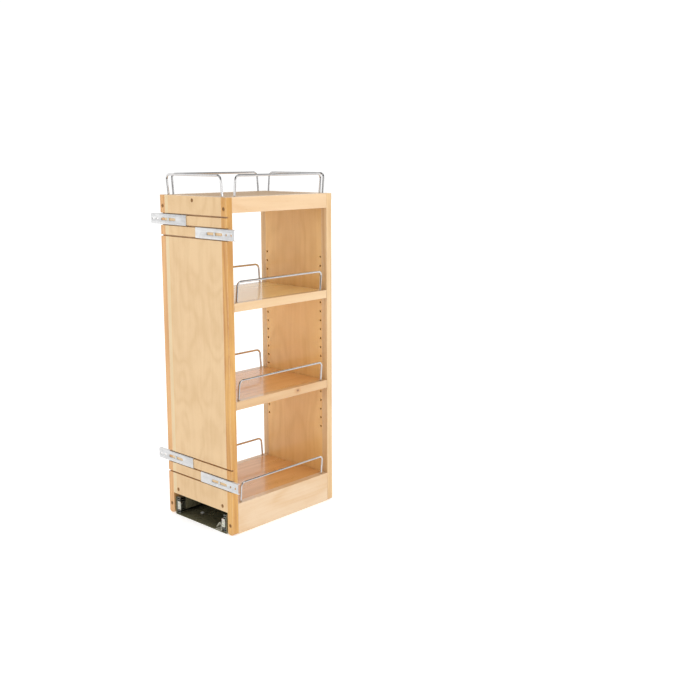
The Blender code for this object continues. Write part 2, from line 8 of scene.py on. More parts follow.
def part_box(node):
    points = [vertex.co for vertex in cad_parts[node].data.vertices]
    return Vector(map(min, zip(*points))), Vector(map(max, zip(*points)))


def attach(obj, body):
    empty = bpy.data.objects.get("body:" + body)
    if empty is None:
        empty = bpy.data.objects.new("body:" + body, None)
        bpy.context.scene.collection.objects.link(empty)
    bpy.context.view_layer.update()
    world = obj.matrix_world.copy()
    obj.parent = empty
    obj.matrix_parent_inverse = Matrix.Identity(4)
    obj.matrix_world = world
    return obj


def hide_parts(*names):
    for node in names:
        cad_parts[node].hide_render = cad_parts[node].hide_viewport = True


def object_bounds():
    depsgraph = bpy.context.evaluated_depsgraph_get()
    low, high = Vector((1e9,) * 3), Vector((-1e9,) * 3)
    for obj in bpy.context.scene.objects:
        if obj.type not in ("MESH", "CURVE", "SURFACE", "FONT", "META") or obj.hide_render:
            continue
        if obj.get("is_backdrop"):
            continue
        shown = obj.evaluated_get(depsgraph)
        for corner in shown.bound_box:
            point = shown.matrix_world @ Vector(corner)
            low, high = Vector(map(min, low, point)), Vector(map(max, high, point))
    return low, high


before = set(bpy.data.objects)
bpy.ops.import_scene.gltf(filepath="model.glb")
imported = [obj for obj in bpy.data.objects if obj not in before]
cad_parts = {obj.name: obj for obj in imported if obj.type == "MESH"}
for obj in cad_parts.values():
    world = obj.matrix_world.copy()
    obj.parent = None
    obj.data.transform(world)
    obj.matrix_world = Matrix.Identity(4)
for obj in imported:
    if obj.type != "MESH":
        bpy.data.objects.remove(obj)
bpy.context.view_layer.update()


# ---- floor tray ------------------------------------------------------------------------------
# A shallow trough folded from dark plated sheet steel. It lies on the cabinet's floor, held by
# four pan-head wood screws, and carries the outer members of both slides on its side walls.

def feed(tree, made, feeds):
    """Gives a node's sockets, by name or number, a value or another node's output."""
    for socket, value in feeds.items():
        if isinstance(value, bpy.types.NodeSocket):
            tree.links.new(value, made.inputs[socket])
        else:
            made.inputs[socket].default_value = value
    return made


def node(tree, kind, feeds=None, **settings):
    """Adds a node, with its settings and what feeds its sockets."""
    made = tree.nodes.new(kind)
    for name, value in settings.items():
        setattr(made, name, value)
    return feed(tree, made, feeds or {})


def flow(tree, kind, feeds=None, **settings):
    """Adds a node and gives its first output."""
    return node(tree, kind, feeds, **settings).outputs[0]


def mixed(tree, amount, first, second, way="MIX"):
    """Mixes two colours by a mask. A plain colour is three numbers."""
    first, second = (tone if isinstance(tone, bpy.types.NodeSocket) else (*tone, 1.0)
                     for tone in (first, second))
    return node(tree, "ShaderNodeMix", {0: amount, 6: first, 7: second},
                data_type="RGBA", blend_type=way).outputs[2]


def math_node(tree, action, first, second=0.0, third=0.0, clamp=False):
    """One sum on up to three values."""
    return flow(tree, "ShaderNodeMath", {0: first, 1: second, 2: third},
                operation=action, use_clamp=clamp)


def times(tree, first, second):
    """One value multiplied by another."""
    return math_node(tree, "MULTIPLY", first, second)


def spread(tree, value, low, high, to_low=0.0, to_high=1.0):
    """Stretches part of a value's range over another range, with soft ends."""
    return flow(tree, "ShaderNodeMapRange",
                {"Value": value, "From Min": low, "From Max": high, "To Min": to_low,
                 "To Max": to_high}, interpolation_type="SMOOTHSTEP")


def vector_node(tree, action, first, second=(0.0, 0.0, 0.0), gives="Vector"):
    """One sum on two vectors, which gives a Vector or a Value."""
    return node(tree, "ShaderNodeVectorMath", {0: first, 1: second},
                operation=action).outputs[gives]


def stretched(tree, place, scales):
    """Scales a place on each axis, so that a pattern is drawn out along the shortest one."""
    return vector_node(tree, "MULTIPLY", place, scales)


def three(tree, x=0.0, y=0.0, z=0.0):
    """A vector of three values."""
    return flow(tree, "ShaderNodeCombineXYZ", {0: x, 1: y, 2: z})


def noise(tree, place, scale, detail=2.0, roughness=0.5, twist=0.0):
    """Soft random cloud over a place; the mask runs from 0 to 1."""
    return flow(tree, "ShaderNodeTexNoise",
                {"Vector": place, "Scale": scale, "Detail": detail, "Roughness": roughness,
                 "Distortion": twist})


def effect(name, takes, gives):
    """An empty shader node group with the named sockets; gives it, its inputs and its ends."""
    group = bpy.data.node_groups.new(name, "ShaderNodeTree")
    for label, kind, value in takes:
        socket = group.interface.new_socket(label, in_out="INPUT", socket_type="NodeSocket" + kind)
        if value is not None:
            socket.default_value = value
    for label, kind in gives:
        group.interface.new_socket(label, in_out="OUTPUT", socket_type="NodeSocket" + kind)
    return group, group.nodes.new("NodeGroupInput").outputs, group.nodes.new("NodeGroupOutput")


def surface(name):
    """A new material: its tree, its Principled shader and the object's own coordinates."""
    made = bpy.data.materials.new(name)
    made.use_nodes = True
    tree = made.node_tree
    return made, tree, tree.nodes["Principled BSDF"], tree.nodes.new("ShaderNodeTexCoord").outputs


metal_wear, takes, ends = effect(
    "metal_wear",
    [("Place", "Vector", None), ("Rolled", "Vector", (900.0, 12.0, 900.0)),
     ("Smudge Size", "Float", 38.0), ("Scratches", "Float", 0.5)],
    [("Smudges", "Float"), ("Lines", "Float"), ("Height", "Float")])
rolled_place = stretched(metal_wear, takes["Place"], takes["Rolled"])
rolled_lines = noise(metal_wear, rolled_place, 1.0, 3.0, 0.6)
smudges = noise(metal_wear, takes["Place"], takes["Smudge Size"], 4.0, 0.62, 0.8)
cells = node(metal_wear, "ShaderNodeTexVoronoi", {"Vector": takes["Place"], "Scale": 95.0},
             feature="DISTANCE_TO_EDGE").outputs["Distance"]
scratches = times(metal_wear, spread(metal_wear, cells, 0.0, 0.012, 1.0, 0.0), takes["Scratches"])
scratches = times(metal_wear, scratches, spread(metal_wear, smudges, 0.45, 0.62))
feed(metal_wear, ends, {
    "Smudges": spread(metal_wear, smudges, 0.3, 0.7),
    "Lines": math_node(metal_wear, "ADD", rolled_lines, scratches),
    "Height": math_node(metal_wear, "SUBTRACT", rolled_lines, scratches)})


def metal(name, bright, dull, rough_low, rough_high, rolled=(900.0, 12.0, 900.0), smudge=38.0,
          scratches=0.5, relief=0.02, metallic=1.0):
    """A metal finish: rolling lines, handling smudges and hair scratches over a two-tone colour."""
    made, tree, shader, place = surface(name)
    wear = node(tree, "ShaderNodeGroup",
                {"Place": place["Object"], "Rolled": rolled, "Smudge Size": smudge,
                 "Scratches": scratches}, node_tree=metal_wear).outputs
    lines = spread(tree, wear["Lines"], 0.3, 0.9, 0.92, 1.06)
    tone = flow(tree, "ShaderNodeVectorMath",
                {0: mixed(tree, wear["Smudges"], bright, dull), "Scale": lines}, operation="SCALE")
    rough = math_node(tree, "MULTIPLY_ADD", wear["Smudges"], rough_high - rough_low, rough_low)
    bump = flow(tree, "ShaderNodeBump",
                {"Strength": relief, "Distance": 0.0002, "Height": wear["Height"]})
    feed(tree, shader, {"Base Color": tone, "Roughness": rough, "Normal": bump,
                        "Metallic": metallic})
    return made


def stand(name, shape, finish=None):
    """Makes a piece of a bmesh that is already in its place, with its faces outwards."""
    bmesh.ops.remove_doubles(shape, verts=shape.verts, dist=1e-6)
    bmesh.ops.recalc_face_normals(shape, faces=shape.faces)
    mesh = bpy.data.meshes.new(name)
    shape.to_mesh(mesh)
    shape.free()
    if finish is not None:
        mesh.materials.append(finish)
    piece = bpy.data.objects.new(name, mesh)
    bpy.context.scene.collection.objects.link(piece)
    return piece


def settle(piece):
    """Turns what a piece's modifiers give into its plain mesh."""
    bpy.context.view_layer.update()
    depsgraph = bpy.context.evaluated_depsgraph_get()
    mesh = bpy.data.meshes.new_from_object(piece.evaluated_get(depsgraph), depsgraph=depsgraph)
    mesh.name = piece.name
    piece.modifiers.clear()
    piece.data = mesh
    return piece


def discard(*cutters):
    """Removes cutters once they have been used."""
    for cutter in cutters:
        bpy.data.objects.remove(cutter, do_unlink=True)


def carve(piece, *cutters, keep=()):
    """Cuts the cutters' shapes out of a piece, and removes all but those to keep."""
    for cutter in (*cutters, *keep):
        cut = piece.modifiers.new(cutter.name, "BOOLEAN")
        cut.operation = "DIFFERENCE"
        cut.solver = "EXACT"
        cut.object = cutter
    settle(piece)
    discard(*cutters)


def ease(piece, width, steps=2, crisp=(), crisp_share=0.25):
    """Rounds a piece's sharp edges; edges on a crisp plane (axis, value) get a small share."""
    shape = bmesh.new()
    shape.from_mesh(piece.data)
    bmesh.ops.dissolve_limit(shape, angle_limit=math.radians(0.5), verts=shape.verts,
                             edges=shape.edges)
    weight = shape.edges.layers.float.new("bevel_weight_edge")
    for edge in shape.edges:
        if len(edge.link_faces) != 2 or edge.calc_face_angle(0.0) < math.radians(32):
            continue
        joint = any(all(abs(v.co[axis] - value) < 2e-5 for v in edge.verts)
                    for axis, value in crisp)
        edge[weight] = crisp_share if joint else 1.0
    shape.to_mesh(piece.data)
    shape.free()
    bevel = piece.modifiers.new("eased_edges", "BEVEL")
    bevel.limit_method = "WEIGHT"
    bevel.width = width
    bevel.segments = steps
    bevel.use_clamp_overlap = True
    return settle(piece)


def smooth(piece, angle=38.0):
    """Shades a piece smooth across its shallow edges."""
    piece.data.shade_smooth()
    piece.data.set_sharp_from_angle(angle=math.radians(angle))
    return piece


def fix(piece, body, slot, *nodes):
    """Gives a finished piece its body and hides the CAD nodes it stands for; slot is not used."""
    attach(piece, body)
    if nodes:
        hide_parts(*nodes)


def folded(corners, sheet, bend, steps=5):
    """Closed outline of a sheet folded along its middle line, with round bends."""
    corners = [Vector(corner) for corner in corners]
    line = [corners[0]]
    for before, corner, after in zip(corners, corners[1:], corners[2:]):
        back, on = (before - corner).normalized(), (after - corner).normalized()
        half = back.angle(on) / 2
        centre = corner + (back + on).normalized() * (bend / math.sin(half))
        first = (corner + back * (bend / math.tan(half)) - centre).normalized()
        last = (corner + on * (bend / math.tan(half)) - centre).normalized()
        line += [centre + first.slerp(last, k / steps).normalized() * bend
                 for k in range(steps + 1)]
    line.append(corners[-1])
    one, other = [], []
    for k, point in enumerate(line):
        along = (line[min(k + 1, len(line) - 1)] - line[max(k - 1, 0)]).normalized()
        across = Vector((-along.y, along.x)) * sheet / 2
        one.append(point + across)
        other.append(point - across)
    return one + other[::-1]


def skinned(shape, bottom, top):
    """Closes a solid between two rings of corners."""
    bottom = [shape.verts.new(corner) for corner in bottom]
    top = [shape.verts.new(corner) for corner in top]
    shape.faces.new(bottom)
    shape.faces.new(top[::-1])
    for k in range(len(bottom)):
        j = (k + 1) % len(bottom)
        shape.faces.new((bottom[j], bottom[k], top[k], top[j]))
    return shape


def extruded(outline, axis, start, end):
    """A solid of an outline given in the two other axes, drawn out along X or Y."""
    order = {"X": (2, 0, 1), "Y": (0, 2, 1)}[axis]
    rings = [[[(*point, level)[i] for i in order] for point in outline] for level in (start, end)]
    return skinned(bmesh.new(), *rings)


def drilled(shape, start, direction, profile, sides=28):
    """Adds a turned solid: profile holds (distance along the axis, radius) pairs."""
    along = Vector(direction).normalized()
    across = along.orthogonal().normalized()
    other = along.cross(across)
    rings = []
    for distance, radius in profile:
        ring = []
        for k in range(sides):
            angle = 2 * math.pi * k / sides
            ring.append(shape.verts.new(Vector(start) + along * distance
                                        + across * radius * math.cos(angle)
                                        + other * radius * math.sin(angle)))
        rings.append(ring)
    for one, two in zip(rings, rings[1:]):
        for k in range(sides):
            j = (k + 1) % sides
            shape.faces.new((one[k], one[j], two[j], two[k]))
    shape.faces.new(rings[0][::-1])
    shape.faces.new(rings[-1])


def hole(shape, start, direction, radius, depth, sides=28):
    """Adds a plain round drill."""
    drilled(shape, start, direction, [(0, radius), (depth, radius)], sides)


def trough(low, high, sheet, upside_down=False):
    """Middle line of a sheet bent to three sides of its box."""
    half = sheet / 2
    left, right = low.x + half, high.x - half
    floor, rim = (high.z - half, low.z) if upside_down else (low.z + half, high.z)
    return [(left, rim), (left, floor), (right, floor), (right, rim)]


def bent(name, line, sheet, bend, axis, start, end, finish):
    """A piece of sheet folded along a line and drawn out along X or Y."""
    return stand(name, extruded(folded(line, sheet, bend), axis, start, end), finish)


def sheet_of_nodes(name, takes):
    """An empty Geometry Nodes tree with a geometry socket each way and the named inputs."""
    tree = bpy.data.node_groups.new(name, "GeometryNodeTree")
    tree.interface.new_socket("Geometry", in_out="INPUT", socket_type="NodeSocketGeometry")
    tree.interface.new_socket("Geometry", in_out="OUTPUT", socket_type="NodeSocketGeometry")
    for label, kind in takes:
        tree.interface.new_socket(label, in_out="INPUT", socket_type="NodeSocket" + kind)
    return tree, tree.nodes.new("NodeGroupInput").outputs


def copied(tree, points, instance, turn=None):
    """Puts a copy of some geometry, turned or not, on each point."""
    feeds = {"Points": points, "Instance": instance}
    if turn is not None:
        feeds["Rotation"] = flow(tree, "FunctionNodeEulerToRotation", {0: turn})
    return flow(tree, "GeometryNodeInstanceOnPoints", feeds)


def close_tree(tree, geometry, finish):
    """Ends a tree: instances made real, then the material."""
    real = flow(tree, "GeometryNodeRealizeInstances", {0: geometry})
    done = flow(tree, "GeometryNodeSetMaterial", {"Geometry": real, "Material": finish})
    node(tree, "NodeGroupOutput", {0: done})


def grown(name, tree, points, sizes, edges=()):
    """Runs a tree on a few points and keeps what it makes as a plain mesh."""
    mesh = bpy.data.meshes.new(name)
    mesh.from_pydata([tuple(point) for point in points], list(edges), [])
    piece = bpy.data.objects.new(name, mesh)
    bpy.context.scene.collection.objects.link(piece)
    growth = piece.modifiers.new(name, "NODES")
    growth.node_group = tree
    for socket in tree.interface.items_tree:
        if socket.in_out == "INPUT" and socket.name in sizes:
            growth[socket.identifier] = sizes[socket.name]
    return settle(piece)


TRAY_SHEET = 0.0012
TRAY_BEND = 0.0014
TRAY_HOLE_IN = 0.039
TRAY_HOLE_RADIUS = 0.0028
SHEET_EASE = 0.00025
tray_low, tray_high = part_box("base_tray")
tray_finish = metal("dark_plated_tray", (0.25, 0.230, 0.140), (0.19, 0.178, 0.110), 0.20, 0.38,
                    smudge=26.0, scratches=0.7, metallic=0.45)
tray = bent("steel_floor_tray", trough(tray_low, tray_high, TRAY_SHEET), TRAY_SHEET, TRAY_BEND,
            "Y", tray_low.y, tray_high.y, tray_finish)
tray_spots = [(x, y) for x in (tray_low.x + TRAY_HOLE_IN, tray_high.x - TRAY_HOLE_IN)
              for y in (tray_low.y + TRAY_HOLE_IN, tray_high.y - TRAY_HOLE_IN)]
tray_holes = bmesh.new()
for x, y in tray_spots:
    hole(tray_holes, (x, y, -0.002), (0, 0, 1), TRAY_HOLE_RADIUS, 0.006)
tray_cutter = stand("tray_cutter", tray_holes)
carve(tray, tray_cutter)
ease(tray, SHEET_EASE)
smooth(tray)
fix(tray, "base", "dark_steel", "base_tray")

# The same tree makes every screw and rivet: a domed head with a cross recess, and a shank.
screw_tree, sizes = sheet_of_nodes("cross_head_screws", [
    ("Head Radius", "Float"), ("Under Radius", "Float"), ("Head Depth", "Float"),
    ("Dome", "Float"), ("Recess", "Float"), ("Shank Radius", "Float"),
    ("Shank Length", "Float"), ("Turn", "Vector"), ("Finish", "Material")])


def moved(tree, geometry, z=0.0, **changes):
    """Lifts, turns or scales geometry inside a tree; the numbers may be sockets."""
    return flow(tree, "GeometryNodeTransform",
                {"Geometry": geometry, "Translation": three(tree, z=z), **changes})


def joined(tree, *parts):
    """Joins geometry inside a tree."""
    join = tree.nodes.new("GeometryNodeJoinGeometry")
    for part in reversed(parts):
        tree.links.new(part, join.inputs[0])
    return join.outputs[0]


head_radius = sizes["Head Radius"]
dome_share = math_node(screw_tree, "DIVIDE", sizes["Dome"], head_radius)
dome = flow(screw_tree, "GeometryNodeMeshUVSphere",
            {"Segments": 24, "Rings": 12, "Radius": head_radius})
dome = moved(screw_tree, dome, Scale=three(screw_tree, 1.0, 1.0, dome_share))
collar = flow(screw_tree, "GeometryNodeMeshCone",
              {"Vertices": 24, "Radius Top": times(screw_tree, head_radius, 0.995),
               "Radius Bottom": sizes["Under Radius"], "Depth": sizes["Head Depth"]})
collar = moved(screw_tree, collar, times(screw_tree, sizes["Head Depth"], -1.0))
arm_size = three(screw_tree, times(screw_tree, sizes["Recess"], 2.0),
                 times(screw_tree, sizes["Recess"], 0.42), times(screw_tree, head_radius, 1.1))
arm = flow(screw_tree, "GeometryNodeMeshCube", {"Size": arm_size})
arm = moved(screw_tree, arm, math_node(screw_tree, "MULTIPLY_ADD", head_radius, 0.15,
                                       sizes["Dome"]))
other_arm = moved(screw_tree, arm, Rotation=(0.0, 0.0, math.pi / 2))
head = flow(screw_tree, "GeometryNodeMeshBoolean",
            {"Mesh 2": joined(screw_tree, dome, collar), "Self Intersection": True},
            operation="UNION", solver="EXACT")
under_size = times(screw_tree, head_radius, 4.0)
under = flow(screw_tree, "GeometryNodeMeshCube",
             {"Size": three(screw_tree, under_size, under_size, under_size)})
under_drop = math_node(screw_tree, "MULTIPLY_ADD", head_radius, -2.0,
                       times(screw_tree, sizes["Head Depth"], -0.98))
under = moved(screw_tree, under, under_drop)
cut_head = flow(screw_tree, "GeometryNodeMeshBoolean",
                {"Mesh 1": head, "Mesh 2": joined(screw_tree, arm, other_arm, under),
                 "Self Intersection": True}, operation="DIFFERENCE", solver="EXACT")
shank = flow(screw_tree, "GeometryNodeMeshCylinder",
             {"Vertices": 16, "Radius": sizes["Shank Radius"], "Depth": sizes["Shank Length"]})
shank_drop = math_node(screw_tree, "MULTIPLY_ADD", sizes["Shank Length"], -0.5,
                       times(screw_tree, sizes["Head Depth"], -0.9))
one_screw = joined(screw_tree, cut_head, moved(screw_tree, shank, shank_drop))
close_tree(screw_tree, copied(screw_tree, sizes["Geometry"], one_screw, sizes["Turn"]),
           sizes["Finish"])


def screws(name, points, turn, finish, head, depth, dome, recess, shank, length, under=None):
    """Like screws on a few points; a screw with no size for under has a straight-sided head."""
    made = grown(name, screw_tree, points,
                 {"Head Radius": head, "Under Radius": under or head, "Head Depth": depth,
                  "Dome": dome, "Recess": recess, "Shank Radius": shank,
                  "Shank Length": length, "Turn": turn, "Finish": finish})
    return smooth(made)


bright_screw = metal("bright_zinc_screw", (0.88, 0.88, 0.85), (0.72, 0.72, 0.69), 0.22, 0.40,
                     rolled=(600.0, 600.0, 600.0), smudge=240.0, metallic=0.5)
tray_screws = screws("tray_floor_screws", [(x, y, tray_low.z + TRAY_SHEET) for x, y in tray_spots],
                     (0.0, 0.0, 0.6), bright_screw, head=0.0042, depth=0.0006, dome=0.0020,
                     recess=0.0017, shank=0.0021, length=0.0005)
fix(tray_screws, "base", "slide_steel")


# ---- ball-bearing slides ---------------------------------------------------------------------
# Two full-extension slides of rolled zinc-plated strip: an outer member riveted to the tray, a
# middle member, and an inner member on the unit. Balls in two cages run between their flanges.
SLIDE_SHEET = 0.0012
SLIDE_BEND = 0.0013
SLIDE_HOOK = 0.0020
STRIP_EASE = 0.0002
MEMBER_HOLES = 5
MEMBER_HOLES_IN = 0.030
OBLONG_PLACES = (0.30, 0.70)
CUT_THROUGH = 0.004
ACROSS_X = (0.0, math.pi / 2, 0.0)
SIDES = (("left", -1), ("right", 1))
slide_finish = metal("plated_slide_steel", (0.52, 0.53, 0.50), (0.36, 0.37, 0.34), 0.20, 0.40)

drill_tree, sizes = sheet_of_nodes("drilled_rows", [
    ("Rows", "Int"), ("Step", "Vector"), ("Radius", "Float"), ("Depth", "Float"),
    ("Turn", "Vector"), ("Finish", "Material")])
drill = flow(drill_tree, "GeometryNodeMeshCylinder",
             {"Vertices": 24, "Radius": sizes["Radius"], "Depth": sizes["Depth"]})
drill_line = flow(drill_tree, "GeometryNodeMeshLine",
                  {"Count": sizes["Rows"], "Offset": sizes["Step"]})
drill_run = copied(drill_tree, drill_line, drill, sizes["Turn"])
close_tree(drill_tree, copied(drill_tree, sizes["Geometry"], drill_run), sizes["Finish"])


def section_box(cad_node):
    """Where a strip of the slides begins and ends: across from the middle, along and up."""
    low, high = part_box(cad_node)
    near, far = sorted((abs(low.x), abs(high.x)))
    return near, far, low.y, high.y, (low.z + high.z) / 2, (high.z - low.z) / 2


def member(name, cad_node, body, side, opens, hook):
    """One rolled slide member. opens is +1 where its flanges reach towards the outside."""
    near, far, start, end, axis, rise = section_box(cad_node)
    back, lip = (near, far) if opens > 0 else (far, near)
    web = back + opens * SLIDE_SHEET / 2
    tip = lip - opens * SLIDE_SHEET / 2
    rise -= SLIDE_SHEET / 2
    if hook:
        ends = [(tip, rise), (tip, rise - hook)]
    else:
        ends = [(lip, rise)]
    line = [(x, -z) for x, z in ends[::-1]] + [(web, -rise), (web, rise)] + ends
    line = [(side * x, axis + z) for x, z in line]
    piece = bent(name, line, SLIDE_SHEET, SLIDE_BEND, "Y", start, end, slide_finish)
    pitch = (end - start - 2 * MEMBER_HOLES_IN) / (MEMBER_HOLES - 1)
    holes = grown("hole_row", drill_tree, [(side * web, start + MEMBER_HOLES_IN, axis)],
                  {"Rows": MEMBER_HOLES, "Step": (0.0, pitch, 0.0), "Radius": 0.0024,
                   "Depth": CUT_THROUGH, "Turn": ACROSS_X})
    oblongs = bmesh.new()
    for share in OBLONG_PLACES:
        for shift in (-0.004, 0.004):
            hole(oblongs, (side * (web - CUT_THROUGH / 2), start + (end - start) * share + shift,
                           axis), (side, 0, 0), 0.0022, CUT_THROUGH, 20)
    carve(piece, holes, stand("slot_row", oblongs))
    ease(piece, STRIP_EASE, 1)
    smooth(piece)
    fix(piece, body, "slide_steel", cad_node)


CAGE_SHEET = 0.0006
CAGE_BEND = 0.0010
CAGE_LIP = 0.0022
cage_finish = metal("yellow_plated_cage", (0.60, 0.54, 0.36), (0.42, 0.38, 0.26), 0.24, 0.42,
                    smudge=90.0)


def cage(cages, side_name, side):
    """The thin pressed strip between two members that keeps their two rows of balls apart."""
    cad_node = cages + "_cage_" + side_name
    near, far, start, end, axis, rise = section_box(cad_node)
    rise -= CAGE_SHEET / 2
    web = far - CAGE_SHEET / 2
    tip = near + CAGE_LIP
    line = [(side * x, axis + z) for x, z in
            ((tip, -rise), (web, -rise), (web, rise), (tip, rise))]
    piece = bent(cages + "_ball_cage_" + side_name, line, CAGE_SHEET, CAGE_BEND, "Y", start, end,
                 cage_finish)
    smooth(piece)
    fix(piece, cages + "_cages", "cage_steel", cad_node)


for side_name, side in SIDES:
    member("outer_slide_member_" + side_name, "slide_outer_" + side_name, "base", side, -1,
           SLIDE_HOOK)
    member("middle_slide_member_" + side_name, "slide_middle_" + side_name, "slide_middle", side,
           -1, SLIDE_HOOK)
    member("inner_slide_member_" + side_name, "slide_inner_" + side_name, "carriage", side, 1, 0.0)
    cage("outer", side_name, side)
    cage("inner", side_name, side)

# Polished steel balls run in two rows along each cage.
BALLS = 14
BALLS_IN = 0.005
ball_finish = metal("polished_balls", (0.72, 0.72, 0.72), (0.60, 0.60, 0.60), 0.05, 0.14,
                    smudge=400.0, scratches=0.0, relief=0.0)
row_tree, sizes = sheet_of_nodes("ball_rows", [
    ("Count", "Int"), ("Pitch", "Float"), ("Radius", "Float"), ("Finish", "Material")])
ball_line = flow(row_tree, "GeometryNodeMeshLine",
                 {"Count": sizes["Count"], "Offset": three(row_tree, y=sizes["Pitch"])})
ball = flow(row_tree, "GeometryNodeMeshIcoSphere", {"Radius": sizes["Radius"], "Subdivisions": 3})
ball_run = copied(row_tree, ball_line, ball)
close_tree(row_tree, copied(row_tree, sizes["Geometry"], ball_run), sizes["Finish"])
# For each pair of cages: the balls' distance from the unit's middle plane, their distance above
# and below the slide's axis, and their radius.
for cages, reach, lift, radius in (("outer", 0.0748, 0.0146, 0.0016),
                                   ("inner", 0.0742, 0.0099, 0.0017)):
    starts = []
    for side_name, side in SIDES:
        near, far, start, end, axis, rise = section_box(cages + "_cage_" + side_name)
        starts += [(side * reach, start + BALLS_IN, axis + way * lift) for way in (-1, 1)]
    pitch = (end - start - 2 * BALLS_IN) / (BALLS - 1)
    balls = grown(cages + "_cage_balls", row_tree, starts,
                  {"Count": BALLS, "Pitch": pitch, "Radius": radius, "Finish": ball_finish})
    smooth(balls, 80.0)
    fix(balls, cages + "_cages", "slide_steel")

# Each inner member ends in a moulded acetal block that stops the unit softly as it closes.
STOP_NEAR = 0.0672
STOP_FAR = 0.0758
STOP_DEPTH = 0.0024
STOP_HEIGHT = 0.0168
STOP_IN = 0.0002
STOP_BORE = 0.0021
STOP_NOTCH = (0.0052, 0.0020, 0.0030)
acetal, tree, shader, place = surface("white_acetal")
speckle = noise(tree, place["Object"], 700.0, 3.0, 0.6)
cloudy = noise(tree, place["Object"], 90.0, 2.0)
feed(tree, shader, {
    "Base Color": mixed(tree, cloudy, (0.50, 0.49, 0.42), (0.66, 0.65, 0.57)),
    "Roughness": spread(tree, speckle, 0.2, 0.8, 0.30, 0.48),
    "Normal": flow(tree, "ShaderNodeBump", {"Strength": 0.08, "Distance": 0.0002,
                                            "Height": speckle}),
    "Subsurface Weight": 0.08, "Subsurface Scale": 0.002})


def add_box(shape, middle, size):
    """Adds a box."""
    bmesh.ops.create_cube(shape, size=1.0,
                          matrix=Matrix.Translation(middle) @ Matrix.Diagonal((*size, 1.0)))


def middle_of(cad_node):
    """The middle of a CAD node's box."""
    low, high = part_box(cad_node)
    return (low + high) / 2


for side_name, side in SIDES:
    axis = middle_of("slide_inner_" + side_name).z
    front = tray_low.y + STOP_IN
    x = side * (STOP_NEAR + STOP_FAR) / 2
    shape = bmesh.new()
    add_box(shape, (x, front + STOP_DEPTH / 2, axis + 0.0006),
            (STOP_FAR - STOP_NEAR, STOP_DEPTH, STOP_HEIGHT))
    stop = stand("soft_stop_" + side_name, shape, acetal)
    notch = bmesh.new()
    hole(notch, (x, front - 0.001, axis + 0.004), (0, 1, 0), STOP_BORE, 0.0022, 24)
    add_box(notch, (x, front, axis - 0.0035), STOP_NOTCH)
    carve(stop, stand("stop_cutter", notch))
    ease(stop, 0.0005, 3)
    smooth(stop)
    fix(stop, "carriage", "slide_steel")

# A spring clip of bent strip stands on the tray beside the right slide and latches the unit.
CLIP_SHEET = 0.0010
CLIP_BEND = 0.0012
CLIP_IN = 0.0010
CLIP_WIDTH = 0.0120
clip_finish = metal("bright_spring_strip", (0.74, 0.72, 0.62), (0.56, 0.54, 0.44), 0.26, 0.42,
                    smudge=120.0, metallic=0.35)
clip_line = [(0.0455, 0.0018), (0.0640, 0.0018), (0.0640, 0.0150), (0.0590, 0.0185),
             (0.0500, 0.0075)]
clip = bent("latch_spring", clip_line, CLIP_SHEET, CLIP_BEND, "Y", tray_low.y + CLIP_IN,
            tray_low.y + CLIP_IN + CLIP_WIDTH, clip_finish)
ease(clip, STRIP_EASE, 1)
smooth(clip)
fix(clip, "base", "slide_steel")

# Flat rivets clinch the outer members to the tray's side walls.
RIVET_HEIGHT = 0.020
RIVET_PLACES = (-0.105, -0.012875, 0.080)
for side_name, side in SIDES:
    spots = [(side * (tray_high.x - 0.0004), y, RIVET_HEIGHT) for y in RIVET_PLACES]
    rivets = screws("side_rivets_" + side_name, spots, (0.0, side * math.pi / 2, 0.0),
                    slide_finish, head=0.0026, depth=0.0004, dome=0.0011, recess=0.00001,
                    shank=0.0012, length=0.0003)
    fix(rivets, "base", "slide_steel")


# ---- carriage plate --------------------------------------------------------------------------
# An inverted trough of the same dark plated sheet, screwed up under the bottom panel. The
# slides' inner members are welded to its side flanges.
PLATE_HOLES_X = (-0.040, 0.040)
PLATE_HOLE_STEP = 0.100
plate_low, plate_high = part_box("carriage_plate")
plate = bent("folded_carriage_plate", trough(plate_low, plate_high, TRAY_SHEET, True), TRAY_SHEET,
             TRAY_BEND, "Y", plate_low.y, plate_high.y, tray_finish)
plate_holes = grown("plate_holes", drill_tree,
                    [(x, -PLATE_HOLE_STEP, plate_high.z) for x in PLATE_HOLES_X],
                    {"Rows": 3, "Step": (0.0, PLATE_HOLE_STEP, 0.0), "Radius": 0.0030,
                     "Depth": 0.006, "Turn": (0.0, 0.0, 0.0)})
carve(plate, plate_holes)
ease(plate, SHEET_EASE)
smooth(plate)
fix(plate, "carriage", "dark_steel", "carriage_plate")
plate_screws = screws("plate_screws",
                      [(x, y, plate_high.z - TRAY_SHEET) for x in PLATE_HOLES_X
                       for y in (-PLATE_HOLE_STEP, 0.0, PLATE_HOLE_STEP)],
                      (math.pi, 0.0, 0.3), bright_screw, head=0.0042, depth=0.0004, dome=0.0019,
                      recess=0.0017, shank=0.0020, length=0.0008)
fix(plate_screws, "carriage", "slide_steel")


# ---- base rails and bottom panel -------------------------------------------------------------
# Two strips of solid maple on edge close the open sides at the foot, with a lacquered maple
# panel glued between them. The rails' top edges show as a paler border beside the panel.

def split(tree, place):
    """A vector's three values."""
    return node(tree, "ShaderNodeSeparateXYZ", {0: place}).outputs


